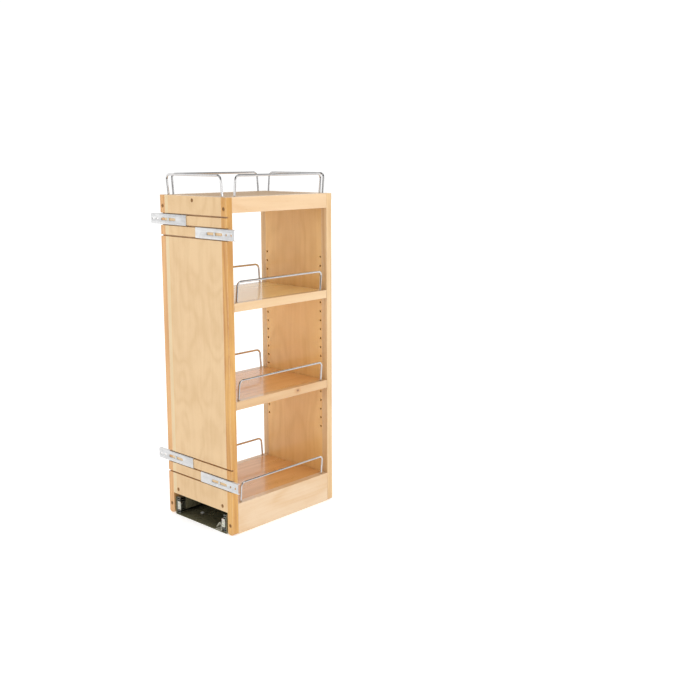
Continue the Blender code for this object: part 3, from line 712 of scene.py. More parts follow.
maple_figure, takes, ends = effect(
    "maple_figure",
    [("Place", "Vector", None), ("Pale", "Color", (0.8, 0.6, 0.4, 1.0)),
     ("Deep", "Color", (0.6, 0.4, 0.2, 1.0)), ("Figure", "Float", 0.5),
     ("Rings", "Float", 9.0), ("Streaks", "Float", 0.5), ("Flecks", "Float", 0.5)],
    [("Color", "Color"), ("Height", "Float"), ("Gloss", "Float")])
tree = maple_figure
at = takes["Place"]
sway = noise(tree, stretched(tree, at, (9.0, 9.0, 3.2)), 1.0, 2.0)
swayed = vector_node(tree, "ADD", at, three(tree, times(tree, sway, 0.030)))
growth_field = noise(tree, stretched(tree, swayed, (11.0, 11.0, 2.6)), 1.0, 1.2, 0.4)
turns = times(tree, times(tree, growth_field, takes["Rings"]), 6.2832)
figure = math_node(tree, "MULTIPLY_ADD", math_node(tree, "SINE", turns), 0.5, 0.5)
late_wood = times(tree, math_node(tree, "POWER", figure, 1.8), takes["Figure"])
streak = noise(tree, stretched(tree, swayed, (150.0, 150.0, 2.4)), 1.0, 4.0, 0.62)
streak = times(tree, spread(tree, streak, 0.30, 0.75), takes["Streaks"])
fibre = noise(tree, stretched(tree, at, (1500.0, 1500.0, 42.0)), 1.0, 2.0, 0.6)
fleck = noise(tree, stretched(tree, at, (900.0, 900.0, 150.0)), 1.0, 1.0)
fleck = times(tree, spread(tree, fleck, 0.66, 0.80), takes["Flecks"])
cloud = noise(tree, stretched(tree, at, (16.0, 16.0, 7.0)), 1.0, 3.0, 0.55)
depth = math_node(tree, "ADD", late_wood, streak)
depth = math_node(tree, "ADD", depth, spread(tree, cloud, 0.3, 0.7, -0.12, 0.16))
depth = math_node(tree, "ADD", depth, spread(tree, fibre, 0.25, 0.75, -0.07, 0.07), clamp=True)
tone = mixed(tree, depth, takes["Pale"], takes["Deep"])
tone = mixed(tree, times(tree, fleck, 0.55), tone, takes["Deep"], "MULTIPLY")
gloss = math_node(tree, "ADD", times(tree, cloud, 0.6), times(tree, fibre, 0.4))
feed(tree, ends, {"Color": tone, "Height": math_node(tree, "SUBTRACT", fibre, fleck),
                  "Gloss": gloss})

edge_rub, takes, ends = effect(
    "edge_rub", [("Place", "Vector", None), ("Low", "Vector", None), ("High", "Vector", None),
                 ("Width", "Float", 0.0015)], [("Mask", "Float")])
tree = edge_rub
nearest = vector_node(tree, "MINIMUM", vector_node(tree, "SUBTRACT", takes["Place"], takes["Low"]),
                      vector_node(tree, "SUBTRACT", takes["High"], takes["Place"]))
near_x, near_y, near_z = split(tree, nearest)
least = math_node(tree, "MINIMUM", near_x, near_y)
most = math_node(tree, "MAXIMUM", near_x, near_y)
second = math_node(tree, "MAXIMUM", least, math_node(tree, "MINIMUM", most, near_z))
ragged = noise(tree, takes["Place"], 120.0, 3.0, 0.6)
reach = times(tree, takes["Width"], spread(tree, ragged, 0.25, 0.75, 0.3, 1.7))
feed(tree, ends, {"Mask": spread(tree, second, 0.0, reach, 1.0, 0.0)})

# How much darker the end grain is, and how strongly each sign of making and use shows.
END_DARKER = 0.62
END_SHOWS = 0.75
PLY_SHOWS = 0.7
RUB_SHOWS = 0.28
BARE_WOOD = (1.0, 0.86, 0.66)


def maple(name, cad_node, pale, deep, grain="Z", shift=(0.0, 0.0, 0.0), draw=(1.0, 1.0, 1.0),
          figure=0.25, rings=8.0, streaks=0.5, flecks=0.5, satin=(0.30, 0.46), coat=0.45,
          coat_rough=0.14, plies=None, marks=()):
    """Lacquered maple whose grain runs along one axis; ends, plies and rubbed edges show.
    plies is an axis and a count; marks are (function, place) pairs that add to the colour."""
    made, tree, shader, place = surface(name)
    here = place["Object"]
    normals = split(tree, place["Normal"])
    low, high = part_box(cad_node)
    x, y, z = split(tree, here)
    along = three(tree, *{"X": (y, z, x), "Y": (x, z, y), "Z": (x, y, z)}[grain])
    along = flow(tree, "ShaderNodeVectorMath", {0: along, 1: draw, 2: shift},
                 operation="MULTIPLY_ADD")
    wood = node(tree, "ShaderNodeGroup",
                {"Place": along, "Pale": (*pale, 1.0), "Deep": (*deep, 1.0), "Figure": figure,
                 "Rings": rings, "Streaks": streaks, "Flecks": flecks},
                node_tree=maple_figure).outputs
    dark_end = tuple(END_DARKER * value for value in deep)
    facing = math_node(tree, "ABSOLUTE", normals["XYZ".index(grain)])
    end_tone = mixed(tree, noise(tree, here, 900.0, 2.0, 0.7), dark_end, deep)
    tone = mixed(tree, times(tree, spread(tree, facing, 0.6, 0.8), END_SHOWS), wood["Color"],
                 end_tone)
    if plies:
        axis, count = "XYZ".index(plies[0]), plies[1]
        layer = times(tree, math_node(tree, "SUBTRACT", (x, y, z)[axis], low[axis]),
                      count / (high - low)[axis])
        band = spread(tree, math_node(tree, "PINGPONG", layer, 1.0), 0.35, 0.65)
        rim = spread(tree, math_node(tree, "ABSOLUTE", normals[axis]), 0.2, 0.4, 1.0, 0.0)
        tone = mixed(tree, times(tree, rim, PLY_SHOWS), tone, mixed(tree, band, dark_end, pale))
    for mark, spot in marks:
        tone = mark(tree, tone, here, normals, spot)
    rubbed = flow(tree, "ShaderNodeGroup", {"Place": here, "Low": low, "High": high},
                  node_tree=edge_rub)
    bare = mixed(tree, 0.5, pale, BARE_WOOD)
    tone = mixed(tree, times(tree, rubbed, RUB_SHOWS), tone, bare)
    rough = math_node(tree, "ADD", spread(tree, wood["Gloss"], 0.25, 0.75, *satin),
                      times(tree, rubbed, 0.10), clamp=True)
    bump = flow(tree, "ShaderNodeBump",
                {"Strength": 0.10, "Distance": 0.0002, "Height": wood["Height"]})
    feed(tree, shader, {"Base Color": tone, "Roughness": rough, "Normal": bump,
                        "Coat Weight": coat, "Coat Roughness": coat_rough, "Coat IOR": 1.5})
    return made


def block(name, low, high, finish):
    """A plain sawn block, ready to be drilled and eased."""
    shape = bmesh.new()
    low, high = Vector(low), Vector(high)
    add_box(shape, (low + high) / 2, high - low)
    return stand(name, shape, finish)


SOLID_EASE = 0.0006
WIRE_RADIUS = 0.0023
RAIL_TILT = math.radians(5.5)
RAIL_ROOT = 0.011
RAIL_INSET = 0.0075
SOCKET_PLAY = 0.00035
wood_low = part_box("front_stile_left")[0]
wood_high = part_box("rear_stile_right")[1]
base_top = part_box("base_rail_left")[1].z


def rail_places(cad_node, foot_z):
    """Middle of a wire rail's foot line, its direction, the way its legs lean, and its span."""
    low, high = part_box(cad_node)
    size = high - low
    wide = size.x > size.y
    axis = 1 if wide else 0
    outward = Vector((0, 0, 0))
    outward[axis] = math.copysign(1.0, (low + high)[axis])
    foot = outward * (wood_high[axis] - RAIL_INSET) + Vector((0, 0, foot_z))
    along = Vector((1, 0, 0)) if wide else Vector((0, 1, 0))
    up = Vector((0, 0, math.cos(RAIL_TILT))) + outward * math.sin(RAIL_TILT)
    return foot, along, up, max(size.x, size.y) - 2 * WIRE_RADIUS


def socket_drills(cad_node, foot_z):
    """Drills for the two blind holes that a rail's legs are pressed into."""
    shape = bmesh.new()
    foot, along, up, span = rail_places(cad_node, foot_z)
    for end in (-0.5, 0.5):
        start = foot + along * span * end - up * (RAIL_ROOT + SOCKET_PLAY)
        hole(shape, start, up, WIRE_RADIUS + SOCKET_PLAY, RAIL_ROOT + 0.003, 24)
    return stand("socket_drills", shape)


for side_name, side in SIDES:
    cad_node = "base_rail_" + side_name
    low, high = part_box(cad_node)
    finish = maple("solid_maple_base_" + side_name, cad_node, (0.77, 0.580, 0.385),
                   (0.68, 0.440, 0.225), grain="Y", shift=(0.31 * side, 0.17, 0.4),
                   draw=(1.0, 1.0, 1.5), figure=0.46, rings=6.0, streaks=0.36)
    rail = block("maple_base_rail_" + side_name, low, high, finish)
    carve(rail, socket_drills("bottom_rail_" + side_name, base_top))
    ease(rail, SOLID_EASE)
    fix(rail, "carriage", "solid_maple", cad_node)

low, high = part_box("bottom_panel")
finish = maple("lacquered_maple_bottom", "bottom_panel", (0.80, 0.445, 0.155),
               (0.64, 0.315, 0.085), grain="Y", shift=(0.9, 0.2, 0.1), figure=0.30, rings=7.0,
               streaks=0.45, satin=(0.24, 0.36), coat=0.5, coat_rough=0.06, plies=("Z", 7))
bottom = block("maple_bottom_panel", low, high, finish)
ease(bottom, 0.00035)
fix(bottom, "carriage", "shelf_maple", "bottom_panel")


# ---- front and rear panels -------------------------------------------------------------------
# Maple-veneered plywood between solid maple stiles, glued edge to edge. Both panels end above
# the tray; six saw grooves cross the front, and two rows of pin holes face inwards on each.
GROOVE_WIDTH = 0.0030
GROOVE_DEPTH = 0.0050
GROOVE_PITCH = 0.0218
SCREW_HOLE = 0.0037
SCREW_HOLE_DEPTH = 0.0023
CUTTER_OUT = 0.002
PLY_EASE = 0.0004
ENDS = (("front", -1), ("rear", 1))
LEVELS = ("upper", "lower")


groove_shape = bmesh.new()
for level in LEVELS:
    left_z = middle_of("bracket_" + level + "_left").z
    right_z = middle_of("bracket_" + level + "_right").z
    for z in (left_z + GROOVE_PITCH / 2, left_z - GROOVE_PITCH / 2, right_z - GROOVE_PITCH / 2):
        add_box(groove_shape, (0.0, wood_low.y + GROOVE_DEPTH / 2 - CUTTER_OUT, z),
                (0.24, GROOVE_DEPTH + 2 * CUTTER_OUT, GROOVE_WIDTH))
grooves = stand("groove_cutter", groove_shape)

SCREW_NAMES = ("stile_left_top", "stile_right_top", "stile_left_foot", "stile_right_foot",
               "panel_top", "panel_left", "panel_right")
screw_shape = bmesh.new()
screw_places = []
for screw_name in SCREW_NAMES:
    spot = middle_of("screw_" + screw_name)
    spot.y = wood_low.y
    screw_places.append(spot)
    hole(screw_shape, spot - Vector((0, CUTTER_OUT, 0)), (0, 1, 0), SCREW_HOLE,
         CUTTER_OUT + SCREW_HOLE_DEPTH)
screw_holes = stand("screw_hole_cutter", screw_shape)

PIN_RADIUS = 0.0022
PIN_DEPTH = 0.0083
PIN_ROWS = 20
ROWS_BETWEEN_SHELVES = 10
ROWS_BELOW_SHELF = 5
ACROSS_Y = (math.pi / 2, 0.0, 0.0)
lower_pin = middle_of("pin_lower_front_left")
upper_pin = middle_of("pin_upper_front_left")
pin_x = abs(upper_pin.x)
pin_pitch = (upper_pin.z - lower_pin.z) / ROWS_BETWEEN_SHELVES
first_pin_z = lower_pin.z - ROWS_BELOW_SHELF * pin_pitch
inner_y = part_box("rear_panel")[0].y


def pin_hole_drills(end):
    """Two columns of pin-hole drills for one panel's inner face."""
    y = end * (inner_y + PIN_DEPTH / 2 - CUTTER_OUT)
    return grown("pin_hole_drills", drill_tree, [(x, y, first_pin_z) for x in (-pin_x, pin_x)],
                 {"Rows": PIN_ROWS, "Step": (0.0, 0.0, pin_pitch), "Radius": PIN_RADIUS + 0.0001,
                  "Depth": PIN_DEPTH + 2 * CUTTER_OUT, "Turn": ACROSS_Y})


def shaded_saw_cuts(tree, tone, here, normals, face):
    """Bare wood, darkened as painted shade, on the walls and floor of the grooves behind a face."""
    y = split(tree, here)[1]
    floor = face + GROOVE_DEPTH
    inside = times(tree, spread(tree, y, face + 0.0004, face + 0.0009),
                   spread(tree, y, floor + 0.0004, floor + 0.0008, 1.0, 0.0))
    walls = spread(tree, math_node(tree, "ABSOLUTE", normals[2]), 0.5, 0.8)
    kerf_and_shade = math_node(tree, "MAXIMUM", walls, spread(tree, normals[1], -0.8, -0.5, 1.0, 0.0))
    # The groove's walls and floor turn a darker brown: bare wood, and painted shade in the recess.
    return mixed(tree, times(tree, times(tree, kerf_and_shade, inside), 0.8), tone, (0.56, 0.310, 0.130))


def pale_stripe(tree, tone, here, normals, edge):
    """A streaked band of paler veneer that ends at edge, with a darker line beside it."""
    x = split(tree, here)[0]
    streaked = noise(tree, stretched(tree, here, (90.0, 90.0, 5.0)), 1.0, 3.0)
    band = times(tree, spread(tree, x, edge, edge + 0.001, 1.0, 0.0),
                 spread(tree, streaked, 0.2, 0.6, 0.5, 1.0))
    tone = mixed(tree, times(tree, band, 0.6), tone, (0.70, 0.580, 0.350))
    off_line = math_node(tree, "ABSOLUTE", math_node(tree, "SUBTRACT", x, edge + 0.0012))
    return mixed(tree, spread(tree, off_line, 0.0004, 0.0014, 0.35, 0.0), tone,
                 (0.70, 0.400, 0.150))


def outer_face_without_painted_light(tree, tone, here, normals, tint):
    """Tints the rear panel's outer face cooler and paler, taking off the painted light that warms
    its inner face.
    """
    return mixed(tree, spread(tree, normals[1], 0.4, 0.6), tone, tint, "MULTIPLY")


STRIPE_WIDTH = 0.011
top_z = wood_high.z
panel_low, panel_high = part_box("front_panel")
VENEER = {
    "front": dict(pale=(0.72, 0.500, 0.268), deep=(0.59, 0.370, 0.168), figure=0.26, rings=8.5,
                  streaks=0.24, draw=(1.25, 1.25, 2.6), coat=0.35, coat_rough=0.16,
                  marks=((pale_stripe, panel_low.x + STRIPE_WIDTH), (shaded_saw_cuts, panel_low.y))),
    # The rear panel's tones are raised and warmed past the front veneer's to stand for the light
    # inside the unit: painted light. Its outer face is tinted back.
    "rear": dict(pale=(0.88, 0.555, 0.215), deep=(0.72, 0.405, 0.122), figure=0.26, rings=6.0,
                 streaks=0.32, draw=(1.1, 1.1, 1.8), coat=0.45, coat_rough=0.12,
                 marks=((outer_face_without_painted_light, (0.82, 0.93, 1.35)),))}
for end_name, end in ENDS:
    cad_node = end_name + "_panel"
    low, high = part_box(cad_node)
    finish = maple("maple_ply_" + end_name, cad_node, shift=(0.23 * end, 0.4, 0.11), flecks=0.35,
                   plies=("Y", 9), **VENEER[end_name])
    panel = block("maple_" + cad_node, low, high, finish)
    carve(panel, socket_drills("top_rail_" + end_name, top_z), pin_hole_drills(end),
          keep=(grooves, screw_holes) if end < 0 else ())
    ease(panel, PLY_EASE, crisp=((0, low.x), (0, high.x), (2, high.z)))
    fix(panel, "carriage", "maple_ply", cad_node)

STILE_EASE = 0.0008
STILE_FOOT = 0.004
STILE_JOINT = 0.00005
FOOT_STEPS = 8
STILES = {"front_left": ((0.73, 0.410, 0.165), (0.53, 0.250, 0.078)),
          "front_right": ((0.70, 0.385, 0.098), (0.49, 0.210, 0.040)),
          "rear_left": ((0.76, 0.525, 0.275), (0.62, 0.370, 0.160)),
          "rear_right": ((0.76, 0.525, 0.275), (0.62, 0.370, 0.160))}
for end_name, end in ENDS:
    for side_name, side in SIDES:
        cad_node = end_name + "_stile_" + side_name
        low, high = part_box(cad_node)
        finish = maple("solid_maple_" + end_name + "_" + side_name, cad_node,
                       *STILES[end_name + "_" + side_name],
                       shift=(0.5 * side, 0.3 * end, 0.2 + 0.1 * side), figure=0.28, rings=9.0,
                       streaks=0.75, flecks=0.6, marks=((shaded_saw_cuts, low.y),) if end < 0 else ())
        inner = (panel_high.x + STILE_JOINT) * side
        x_low, x_high = sorted((inner, wood_high.x * side))
        outline = [(x_low, high.z)]
        for corner, first in ((x_low + STILE_FOOT, 180), (x_high - STILE_FOOT, 270)):
            for k in range(FOOT_STEPS + 1):
                angle = math.radians(first + 90 * k / FOOT_STEPS)
                outline.append((corner + STILE_FOOT * math.cos(angle),
                                low.z + STILE_FOOT + STILE_FOOT * math.sin(angle)))
        outline.append((x_high, high.z))
        stile = stand("maple_" + cad_node, extruded(outline, "Y", low.y, high.y), finish)
        if end < 0:
            carve(stile, keep=(grooves, screw_holes))
        ease(stile, STILE_EASE, crisp=((0, inner), (2, high.z)))
        smooth(stile, 20.0)
        fix(stile, "carriage", "solid_maple", cad_node)
discard(grooves, screw_holes)


# ---- front screws ----------------------------------------------------------------------------
# Bronzed cross-head screws through the front panel and stiles into the top and base. Their
# heads sit in counterbored holes a little below the lacquer.
HEAD_SUNK = 0.0011
bronzed = metal("bronzed_screw", (0.46, 0.235, 0.085), (0.28, 0.130, 0.042), 0.34, 0.54,
                rolled=(500.0, 500.0, 500.0), smudge=260.0, metallic=0.35)
front_screws = screws("bronzed_front_screws",
                      [spot + Vector((0, HEAD_SUNK, 0)) for spot in screw_places], ACROSS_Y,
                      bronzed, head=0.0033, depth=0.0011, dome=0.0006, recess=0.0016,
                      shank=0.0017, length=0.020)
fix(front_screws, "carriage", "screw_steel", *["screw_" + name for name in SCREW_NAMES])


# ---- top panel and aprons --------------------------------------------------------------------
# The top is veneered plywood glued between two solid maple aprons, flush with the stiles. Each
# apron's upper edge is drilled for the legs of its wire rail.
for side_name, side in SIDES:
    cad_node = "top_apron_" + side_name
    low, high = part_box(cad_node)
    finish = maple("solid_maple_apron_" + side_name, cad_node, (0.80, 0.565, 0.335),
                   (0.70, 0.435, 0.215), grain="Y", shift=(0.7 * side, 0.6, 0.2), figure=0.32,
                   rings=6.0, streaks=0.30)
    apron = block("maple_" + cad_node, low, high, finish)
    carve(apron, socket_drills("top_rail_" + side_name, top_z))
    ease(apron, SOLID_EASE, crisp=((0, low.x if side > 0 else high.x),))
    fix(apron, "carriage", "solid_maple", cad_node)

low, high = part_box("top_panel")
# The top's tones are darker than the front veneer's: painted shade, for the top's dimmer look under
# side and front light.
finish = maple("maple_ply_top", "top_panel", (0.54, 0.340, 0.155), (0.44, 0.255, 0.105), grain="Y",
               shift=(0.15, 0.8, 0.5), figure=0.34, rings=8.0, streaks=0.35, satin=(0.5, 0.62),
               coat=0.15, coat_rough=0.3, plies=("Z", 9))
top = block("maple_top_panel", low, high, finish)
ease(top, 0.0003)
fix(top, "carriage", "maple_ply", "top_panel")


# ---- wire rails of the unit ------------------------------------------------------------------
# Chromed steel wire bent to an inverted U, its legs pressed into blind holes. Six are fixed to
# the unit: one on each edge of the top, and one at each open side of the bottom.
RAIL_RISE = 0.0405
RAIL_BEND = 0.009
chrome = metal("chromed_wire", (0.90, 0.89, 0.89), (0.80, 0.78, 0.77), 0.05, 0.13,
               rolled=(260.0, 260.0, 260.0), smudge=55.0, scratches=0.3, relief=0.008)
wire_tree, sizes = sheet_of_nodes("bent_wire", [
    ("Wire Radius", "Float"), ("Bend Radius", "Float"), ("Finish", "Material")])
wire_path = flow(wire_tree, "GeometryNodeMeshToCurve", {0: sizes["Geometry"]})
bends = flow(wire_tree, "GeometryNodeFilletCurve",
             {"Curve": wire_path, "Radius": sizes["Bend Radius"], "Count": 10}, mode="POLY")
wire_section = flow(wire_tree, "GeometryNodeCurvePrimitiveCircle",
                    {"Resolution": 20, "Radius": sizes["Wire Radius"]})
wire_mesh = flow(wire_tree, "GeometryNodeCurveToMesh",
                 {"Curve": bends, "Profile Curve": wire_section, "Fill Caps": True})
close_tree(wire_tree, wire_mesh, sizes["Finish"])


def wire_rail(name, cad_node, foot_z, body):
    """One wire rail, leaning outwards from its foot line."""
    foot, along, up, span = rail_places(cad_node, foot_z)
    corners = [foot + along * span / 2 * way + up * rise for way, rise in
               ((-1, -RAIL_ROOT), (-1, RAIL_RISE), (1, RAIL_RISE), (1, -RAIL_ROOT))]
    rail = grown(name, wire_tree, corners,
                 {"Wire Radius": WIRE_RADIUS, "Bend Radius": RAIL_BEND, "Finish": chrome},
                 [(0, 1), (1, 2), (2, 3)])
    smooth(rail)
    fix(rail, body, "chrome_wire", cad_node)


for place_name in ("left", "right", "front", "rear"):
    wire_rail("chrome_top_rail_" + place_name, "top_rail_" + place_name, top_z, "carriage")
for place_name in ("left", "right"):
    wire_rail("chrome_base_rail_" + place_name, "bottom_rail_" + place_name, base_top, "carriage")


# ---- shelf pins ------------------------------------------------------------------------------
# Plain plated steel pins, cut from round bar. They are pushed half-way into the panels' holes,
# four under each shelf.
pin_tree, sizes = sheet_of_nodes("shelf_pins", [
    ("Radius", "Float"), ("Length", "Float"), ("Turn", "Vector"), ("Finish", "Material")])
pin_body = flow(pin_tree, "GeometryNodeMeshCylinder",
                {"Vertices": 20, "Side Segments": 1, "Radius": sizes["Radius"],
                 "Depth": sizes["Length"]})
close_tree(pin_tree, copied(pin_tree, sizes["Geometry"], pin_body, sizes["Turn"]),
           sizes["Finish"])
pin_nodes = ["pin_" + level + "_" + end_name + "_" + side_name for level in ("lower", "upper")
             for end_name, end in ENDS for side_name, side in SIDES]
pin_low, pin_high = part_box(pin_nodes[0])
pins = grown("plated_shelf_pins", pin_tree, [middle_of(name) for name in pin_nodes],
             {"Radius": PIN_RADIUS, "Length": (pin_high - pin_low).y, "Turn": ACROSS_Y,
              "Finish": slide_finish})
ease(pins, 0.0004)
smooth(pins)
fix(pins, "carriage", "slide_steel", *pin_nodes)


# ---- adjustable shelves ----------------------------------------------------------------------
# Each shelf is a lacquered maple board with a solid strip glued along both open sides. It rests
# on four pins in slots under its ends, and has a wire rail in each strip.
STRIP_WIDTH = 0.015
STRIP_ROUND = 0.0009
JOINT = 0.00004
PIN_SLOT = (0.0060, 0.0122, 0.0142)
KNOT_Y = 0.040
KNOT_DOWN = 0.0070


def dark_knot(tree, tone, here, normals, middle):
    """A small dark knot with a reddish halo."""
    off = stretched(tree, vector_node(tree, "SUBTRACT", here, middle), (1.0, 0.7, 1.0))
    ripple = spread(tree, noise(tree, here, 500.0, 2.0), 0.2, 0.8, 0.75, 1.25)
    gap = times(tree, vector_node(tree, "LENGTH", off, gives="Value"), ripple)
    tone = mixed(tree, spread(tree, gap, 0.0018, 0.0085, 0.60, 0.0), tone, (0.52, 0.22, 0.06))
    return mixed(tree, spread(tree, gap, 0.0010, 0.0032, 0.90, 0.0), tone, (0.20, 0.070, 0.020))


# For each shelf: the board's pale and deep tones, the strips' pale and deep tones, its place
# in the grain, and the side whose strip has a knot.
# The upper board and strips have tones raised above the lower ones': painted light inside the unit.
SHELF_TONES_WITH_PAINTED_LIGHT = {
    "upper": ((0.98, 0.730, 0.320), (0.90, 0.580, 0.215), (0.78, 0.550, 0.310),
              (0.68, 0.420, 0.195), 0.4, None),
    "lower": ((0.78, 0.425, 0.150), (0.63, 0.305, 0.085), (0.71, 0.465, 0.240),
              (0.58, 0.320, 0.130), 1.3, "right")}
for level, (pale, deep, strip_pale, strip_deep, seed, knot_side) in SHELF_TONES_WITH_PAINTED_LIGHT.items():
    cad_node = level + "_shelf_board"
    body = level + "_shelf"
    low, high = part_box(cad_node)
    core_x = high.x - STRIP_WIDTH
    slots = bmesh.new()
    for end in (-1, 1):
        for side in (-1, 1):
            add_box(slots, (side * pin_x, end * (high.y - 0.003), low.z + 0.0037), PIN_SLOT)
    slots = stand("pin_slot_cutter", slots)
    finish = maple("shelf_maple_" + level, cad_node, pale, deep, grain="Y", shift=(seed, 0.3, 0.7),
                   figure=0.34, rings=8.0, streaks=0.36, satin=(0.24, 0.36), coat=0.5,
                   coat_rough=0.06, plies=("Z", 9))
    board = block("maple_" + level + "_shelf", (-core_x + JOINT, low.y, low.z),
                  (core_x - JOINT, high.y, high.z), finish)
    carve(board, keep=(slots,))
    ease(board, PLY_EASE, crisp=((0, -core_x + JOINT), (0, core_x - JOINT)))
    fix(board, body, "shelf_maple", cad_node)
    for side_name, side in SIDES:
        x_low, x_high = sorted((side * core_x, side * high.x))
        marks = ((dark_knot, (high.x, KNOT_Y, high.z - KNOT_DOWN)),)
        finish = maple("shelf_strip_" + level + "_" + side_name, cad_node, strip_pale, strip_deep,
                       grain="Y", shift=(seed + side, 0.9, 0.1), figure=0.24, rings=6.0,
                       streaks=0.34, coat=0.8, coat_rough=0.08,
                       marks=marks if side_name == knot_side else ())
        strip = block("maple_" + level + "_strip_" + side_name, (x_low, low.y, low.z),
                      (x_high, high.y, high.z), finish)
        rail_node = level + "_shelf_rail_" + side_name
        carve(strip, socket_drills(rail_node, high.z), keep=(slots,))
        ease(strip, STRIP_ROUND, 3, crisp=((0, side * core_x),), crisp_share=0.12)
        fix(strip, body, "shelf_maple")
        wire_rail("chrome_" + rail_node, rail_node, high.z, body)
    discard(slots)


# ---- door brackets ---------------------------------------------------------------------------
# Four short channels folded from bright zinc-plated sheet. Their flanges slide in the saw
# grooves; a countersunk screw in each long slot clamps them, and the door screws to their ends.
BRACKET_SHEET = 0.0011
BRACKET_BEND = 0.0009
SLOT_STRAIGHT = 0.0403
SLOT_RINGS = ((-0.0006, 0.0044), (0.0013, 0.0022))
SLOT_STEPS = 16
HOLES_IN = (0.008, 0.022)
DOOR_HOLE = 0.0022
zinc = metal("bright_zinc_bracket", (0.91, 0.91, 0.91), (0.79, 0.79, 0.79), 0.34, 0.50,
             rolled=(14.0, 1100.0, 1100.0), smudge=45.0, scratches=0.6, metallic=0.7)
for level in LEVELS:
    for side_name, side in SIDES:
        name = level + "_" + side_name
        low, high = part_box("bracket_" + name)
        middle = (low + high) / 2
        half = BRACKET_SHEET / 2
        line = [(high.y, low.z + half), (low.y + half, low.z + half),
                (low.y + half, high.z - half), (high.y, high.z - half)]
        bracket = bent("zinc_bracket_" + name, line, BRACKET_SHEET, BRACKET_BEND, "X", low.x,
                       high.x, zinc)
        rings = []
        for inward, radius in SLOT_RINGS:
            ring = []
            for shift, first in ((SLOT_STRAIGHT / 2, -90), (-SLOT_STRAIGHT / 2, 90)):
                for k in range(SLOT_STEPS + 1):
                    angle = math.radians(first + 180 * k / SLOT_STEPS)
                    ring.append((middle.x + shift + radius * math.cos(angle), low.y + inward,
                                 middle.z + radius * math.sin(angle)))
            rings.append(ring)
        slot = stand("slot_cutter", skinned(bmesh.new(), *rings))
        outer_x = high.x if side > 0 else low.x
        holes = bmesh.new()
        for inward in HOLES_IN:
            hole(holes, (outer_x - side * inward, low.y - 0.001, middle.z), (0, 1, 0), DOOR_HOLE,
                 0.004)
        holes = stand("bracket_hole_cutter", holes)
        carve(bracket, slot, holes)
        ease(bracket, STRIP_EASE)
        smooth(bracket)
        fix(bracket, "door_bracket_" + name, "zinc_plate", "bracket_" + name)

CLAMP_SUNK = 0.0003
clamp_nodes = ["clamp_screw_" + level + "_" + side_name for level in LEVELS
               for side_name, side in SIDES]
clamp_spots = []
for name in clamp_nodes:
    spot = middle_of(name)
    spot.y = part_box(name)[0].y + CLAMP_SUNK
    clamp_spots.append(spot)
clamps = screws("bright_clamp_screws", clamp_spots, ACROSS_Y, bright_screw, head=0.0031,
                under=0.0019, depth=0.0010, dome=0.0003, recess=0.0015, shank=0.0017,
                length=0.008)
fix(clamps, "carriage", "slide_steel", *clamp_nodes)


# ---- studio ----------------------------------------------------------------------------------
# A white room with a pale floor. One broad light stands at the open side, one in front and one
# overhead. Polished faces see a painted reflection on the floor, dimmer near the unit and painted
# dark in front, and a darker room behind it.
WHITE = (1.0, 1.0, 1.0, 1.0)
TO_THE_FRONT = (0.68, -0.73, 0.0)
TO_THE_BACK = (-0.68, 0.73, 0.0)
floor_finish, tree, shader, place = surface("pale_floor")
here = place["Object"]
cloudy = noise(tree, here, 3.0, 2.0)
feed(tree, shader, {
    "Base Color": mixed(tree, cloudy, (0.90, 0.90, 0.90), (0.94, 0.94, 0.94)),
    "Roughness": 0.9, "Specular IOR Level": 0.1, "Emission Color": WHITE,
    "Emission Strength": 0.38})
# Glossy rays see the floor as a glowing painted reflection: dimmer near the unit, and dark in a
# band in front.
out_front = vector_node(tree, "DOT_PRODUCT", here, TO_THE_FRONT, gives="Value")
painted_dark_reflection = times(tree, spread(tree, out_front, 0.55, 1.00),
                    spread(tree, out_front, 2.9, 3.6, 1.0, 0.0))
away = vector_node(tree, "LENGTH", here, gives="Value")
painted_reflection_strength = times(tree, spread(tree, away, 0.5, 2.4, 0.82, 1.05),
              math_node(tree, "SUBTRACT", 1.0, times(tree, painted_dark_reflection, 0.82)))
reflected = flow(tree, "ShaderNodeEmission", {"Color": WHITE, "Strength": painted_reflection_strength})
glossy = tree.nodes.new("ShaderNodeLightPath").outputs["Is Glossy Ray"]
two_way = flow(tree, "ShaderNodeMixShader", {0: glossy, 1: shader.outputs[0], 2: reflected})
feed(tree, tree.nodes["Material Output"], {0: two_way})
floor_shape = bmesh.new()
bmesh.ops.create_circle(floor_shape, cap_ends=True, segments=96, radius=14.0)
floor = stand("studio_floor", floor_shape, floor_finish)
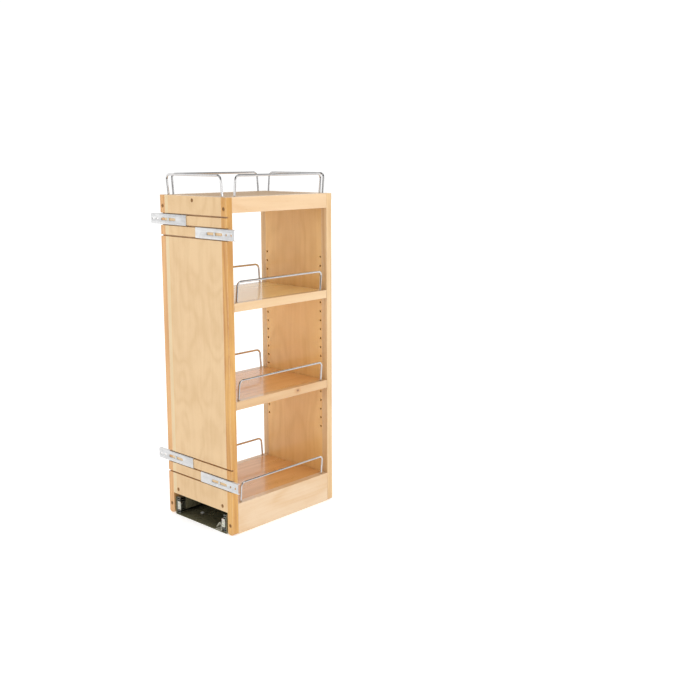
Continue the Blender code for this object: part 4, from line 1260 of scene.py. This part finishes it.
floor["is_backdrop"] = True

world = bpy.data.worlds.new("white_room")
bpy.context.scene.world = world
world.use_nodes = True
tree = world.node_tree
tree.nodes.clear()
ray = tree.nodes.new("ShaderNodeTexCoord").outputs["Generated"]
towards_back = vector_node(tree, "DOT_PRODUCT", ray, TO_THE_BACK, gives="Value")
white_wall = spread(tree, towards_back, -0.20, 0.30)
low_down = spread(tree, split(tree, ray)[2], 0.45, 0.80, 1.0, 0.0)
mirrored = spread(tree, times(tree, white_wall, low_down), 0.0, 1.0, 0.07, 0.95)
room, soft, backdrop = (flow(tree, "ShaderNodeBackground", {"Color": WHITE, "Strength": strength})
                        for strength in (mirrored, 0.92, 1.05))
path = tree.nodes.new("ShaderNodeLightPath").outputs
lit = flow(tree, "ShaderNodeMixShader", {0: path["Is Glossy Ray"], 1: soft, 2: room})
seen = flow(tree, "ShaderNodeMixShader", {0: path["Is Camera Ray"], 1: lit, 2: backdrop})
node(tree, "ShaderNodeOutputWorld", {0: seen})


LIGHTS_AIM = Vector((0.0, 0.0, 0.35))
# Each soft box: its name, place, width and power.
for name, place, size, power in (("side_box", (2.3, 0.3, 1.1), 1.6, 9.0),
                                 ("front_box", (-0.5, -2.4, 1.0), 1.6, 6.0),
                                 ("top_box", (0.3, -0.3, 2.6), 1.4, 5.0)):
    lamp = bpy.data.lights.new(name, "AREA")
    lamp.shape = "SQUARE"
    lamp.size = size
    lamp.energy = power
    box = bpy.data.objects.new(name, lamp)
    bpy.context.scene.collection.objects.link(box)
    box.location = place
    box.rotation_euler = (LIGHTS_AIM - Vector(place)).to_track_quat("-Z", "Y").to_euler()

view = bpy.data.cameras.new("camera")
view.lens = 48.92
view.shift_y = -0.05
view.sensor_width = 36.0
camera = bpy.data.objects.new("camera", view)
bpy.context.scene.collection.objects.link(camera)
camera.location = (1.4787, -1.3027, 0.7484)
camera.rotation_euler = (math.radians(90.0 - 9.610), 0.0, math.radians(42.498))
bpy.context.scene.camera = camera
bpy.context.scene.view_settings.view_transform = "Standard"

low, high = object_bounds()
